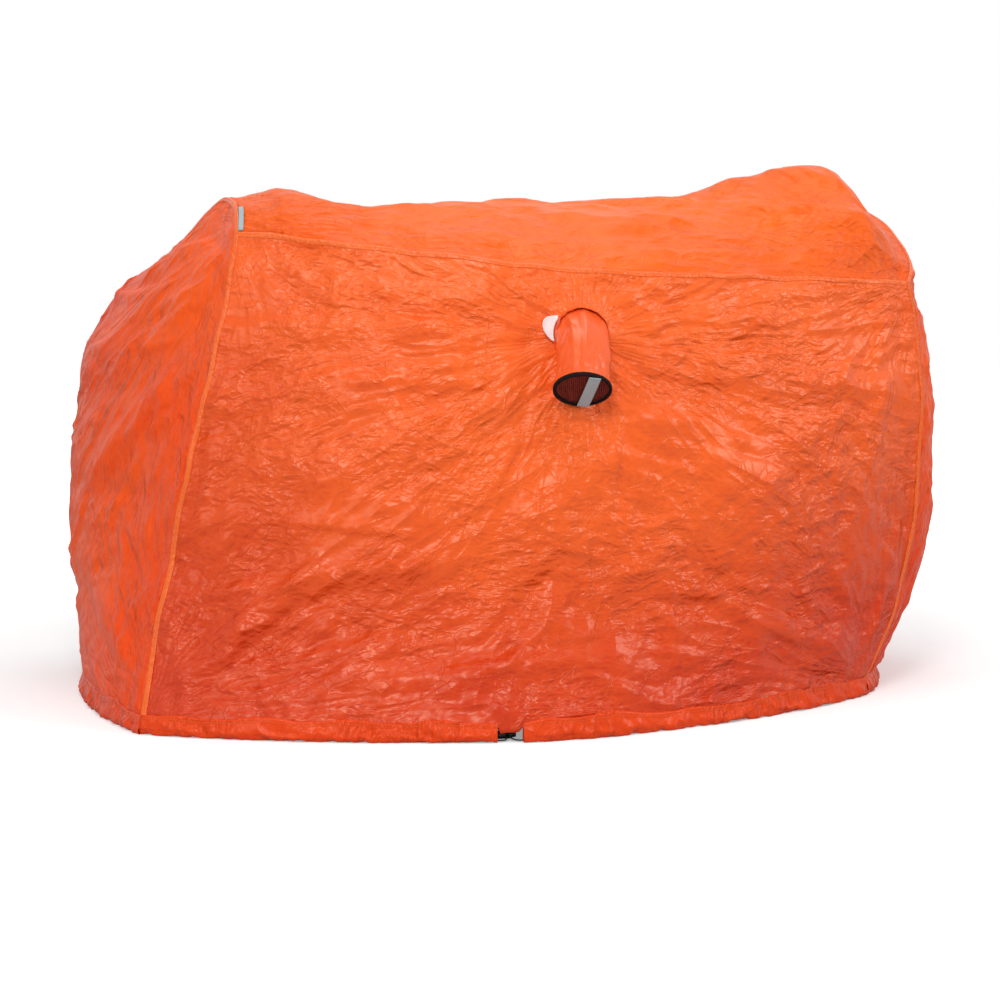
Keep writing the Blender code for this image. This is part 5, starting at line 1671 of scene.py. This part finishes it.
def makeStrap():
    look = strapShape
    tip, right, top, out = tipFrame()
    turn = math.radians(look["turn"])
    along = math.cos(turn) * top + math.sin(turn) * right
    across = math.cos(turn) * right - math.sin(turn) * top
    reach = vent["tipRadius"] + vent["bindingExtra"]
    half = math.sqrt(reach**2 - (look["offset"] + look["width"] / 2) ** 2)
    share = np.linspace(-1, 1, 60)[:, None]
    face = 2 * bag["clearance"] + vent["bindingDepth"] + look["thickness"] / 2
    middles = (tip + out * (face + look["bow"] * (1 - share**2)) + along * half * share
               + across * look["offset"])
    wides = np.broadcast_to(across, middles.shape)
    ups = np.cross(wides, unit(np.gradient(middles, axis=0)))
    strap = tapeMesh("grabStrap", middles, wides, ups, look["width"], look["thickness"], greyWebbing)
    return place(strap, "vent", "webbing", "grab_strap")


labelShape = {
    "turn": 163.0, "height": 0.046, "length": 0.026, "thickness": 0.0006, "curl": 52.0,
    "taper": (0.86, 2.2), "cells": (25, 14),
}


def makeLabel():
    # A flap whose sewn edge follows the collar's round and whose free edge is a bow
    look = labelShape
    root, right, rise, out = ventFrame()
    turn = math.radians(look["turn"])
    away = math.cos(turn) * right + math.sin(turn) * rise
    line = np.cross(out, away)
    reach = vent["radius"] + vent["collarExtra"] + bag["clearance"]
    bend = math.radians(look["curl"])
    radius = look["length"] / bend
    columns, rows = look["cells"]
    across = np.linspace(-1, 1, columns)[:, None, None]
    share = np.linspace(0, 1, rows)[None, :, None]
    aside = across * look["height"] / 2
    hollow = np.sqrt(reach**2 - aside**2) - reach
    taper, power = look["taper"]
    turned = bend * share * (1 - taper * np.abs(across) ** power)
    middle = (root + away * (reach + hollow + radius * np.sin(turned)) + line * aside
              + out * (vent["collarDepth"] / 2 - look["thickness"] / 2 + radius * (1 - np.cos(turned))))
    lift = (out * np.cos(turned) - away * np.sin(turned)) * look["thickness"] / 2
    label = makeLayer("careLabel", middle + lift, middle - lift, share[..., 0] * look["length"],
                      aside[..., 0], whiteLabel)
    turnedOut(label)
    return place(label, "label", "label", "care_label")


makeCollar()
makeSleeve()
makeBinding()
makeNet()
makeStrap()
makeLabel()
print("vent made")


# Hang loop: grey tape on the roof behind the front left corner

loopShape = {
    "width": 0.0085, "thickness": 0.0010, "drawnThickness": 0.0008, "eye": 0.0012, "length": 0.072,
    "start": 0.004, "beside": 0.0082, "lift": 0.0026, "nose": 0.001,
}


def makeLoop():
    look = loopShape
    width, height = panelReach("roof")
    shares = np.linspace(0, 1, 40)
    middles = []
    normals = []
    for share in shares:
        reach = look["start"] + look["length"] * share
        point, normal = surfacePoint("roof", look["beside"] / width, reach / height)
        middles.append(swayed(point) + normal * look["lift"])
        normals.append(normal)
    middles = np.array(middles)
    normals = np.array(normals)
    ahead = unit(np.gradient(middles, axis=0))
    wides = unit(np.cross(normals, ahead))
    rise = look["thickness"] + look["eye"] * np.sin(math.pi * shares)[:, None]
    over = (middles + normals * rise)[::-1]
    nose = (middles[-1] + over[0])[None] / 2 + ahead[-1:] * look["nose"]
    path = np.concatenate([middles, nose, over])
    wides = np.concatenate([wides, wides[-1:], wides[::-1]])
    ups = unit(np.cross(wides, unit(np.gradient(path, axis=0))))
    loop = tapeMesh("hangLoop", path, wides, ups, look["width"], look["drawnThickness"], greyWebbing)
    return place(loop, "bag", "webbing", "hang_loop")


makeLoop()


# The lock's spring

spring = {"wire": 0.0008, "diameter": 0.0074, "turns": 4, "left": -0.0137, "right": -0.0063,
          "pressed": 0.0040}


def makeSpring():
    centre = lockPlace()
    thin = spring["wire"] / 2
    run = np.linspace(spring["left"] + thin, spring["right"] - thin, 24 * spring["turns"] + 1)
    turn = np.linspace(0, 2 * math.pi * spring["turns"], len(run))
    radius = spring["diameter"] / 2
    coil = centre + np.stack([run, radius * np.cos(turn), radius * np.sin(turn)], axis=1)
    piece = tubeMesh("lockSpring", coil, thin, 8, springSteel)
    place(piece, "lock", "spring_steel", "lock_spring")
    tuple(centre + (spring["left"], 0, 0))
    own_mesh(piece)


makeSpring()
print("hang loop and spring made")


# Stitches along the seams and the hem

def makeStitches(name, lines, look, material):
    tree, wire, asked = newTree(name + "Nodes", {"Pitch": "Float", "Length": "Float", "Width": "Float",
                                                 "Uneven": "Float", "Seed": "Int"})
    curve = wire.node("GeometryNodeMeshToCurve", {"Mesh": asked["Geometry"]})
    spacing = {"Curve": curve, "Length": asked["Pitch"]}
    spaced = wire.node("GeometryNodeResampleCurve", spacing, mode="LENGTH")
    bead = wire.node("GeometryNodeMeshUVSphere", {"Radius": 0.5, "Segments": 6, "Rings": 4})
    way = wire.node("GeometryNodeInputTangent")
    turned = wire.node("FunctionNodeAlignRotationToVector", {"Vector": way}, axis="X")
    least, most = (asked["Uneven"] * sign + 1.0 for sign in (-1.0, 1.0))
    uneven = wire.node("FunctionNodeRandomValue", {2: least, 3: most, "Seed": asked["Seed"]}, 1,
                       data_type="FLOAT")
    size = wire.node("ShaderNodeCombineXYZ",
                     {"X": asked["Length"] * uneven, "Y": asked["Width"], "Z": asked["Width"]})
    beads = wire.node("GeometryNodeInstanceOnPoints",
                      {"Points": spaced, "Instance": bead, "Rotation": turned, "Scale": size})
    giveOut(wire.node("GeometryNodeRealizeInstances", {"Geometry": beads}), material)
    piece = applied(name, lineMesh(name, lines), tree, look)
    piece.data.shade_smooth()
    return place(piece, "bag", "seam_cloth")


makeStitches("seamStitches", stitchLines, stitchLook, orangeThread)
trimmings = {
    "front": [seams["front_left"], seams["front_right"], hems["front_left"], hems["front_right"]],
    "right": [hems["right"]], "left": [hems["left"]],
    "back": [seams["back_right"], seams["back_left"], hems["back"]],
    "roof": [seams["front"], seams["right"], seams["back"], seams["left"]],
}
for name, parts in trimmings.items():
    declarePanel(name)
print("stitches made")

# The lock's barrel and plunger keep their own meshes
for name in ("lock_barrel", "lock_plunger"):
    for slot in nodes[name].material_slots:
        slot.material = blackPlastic
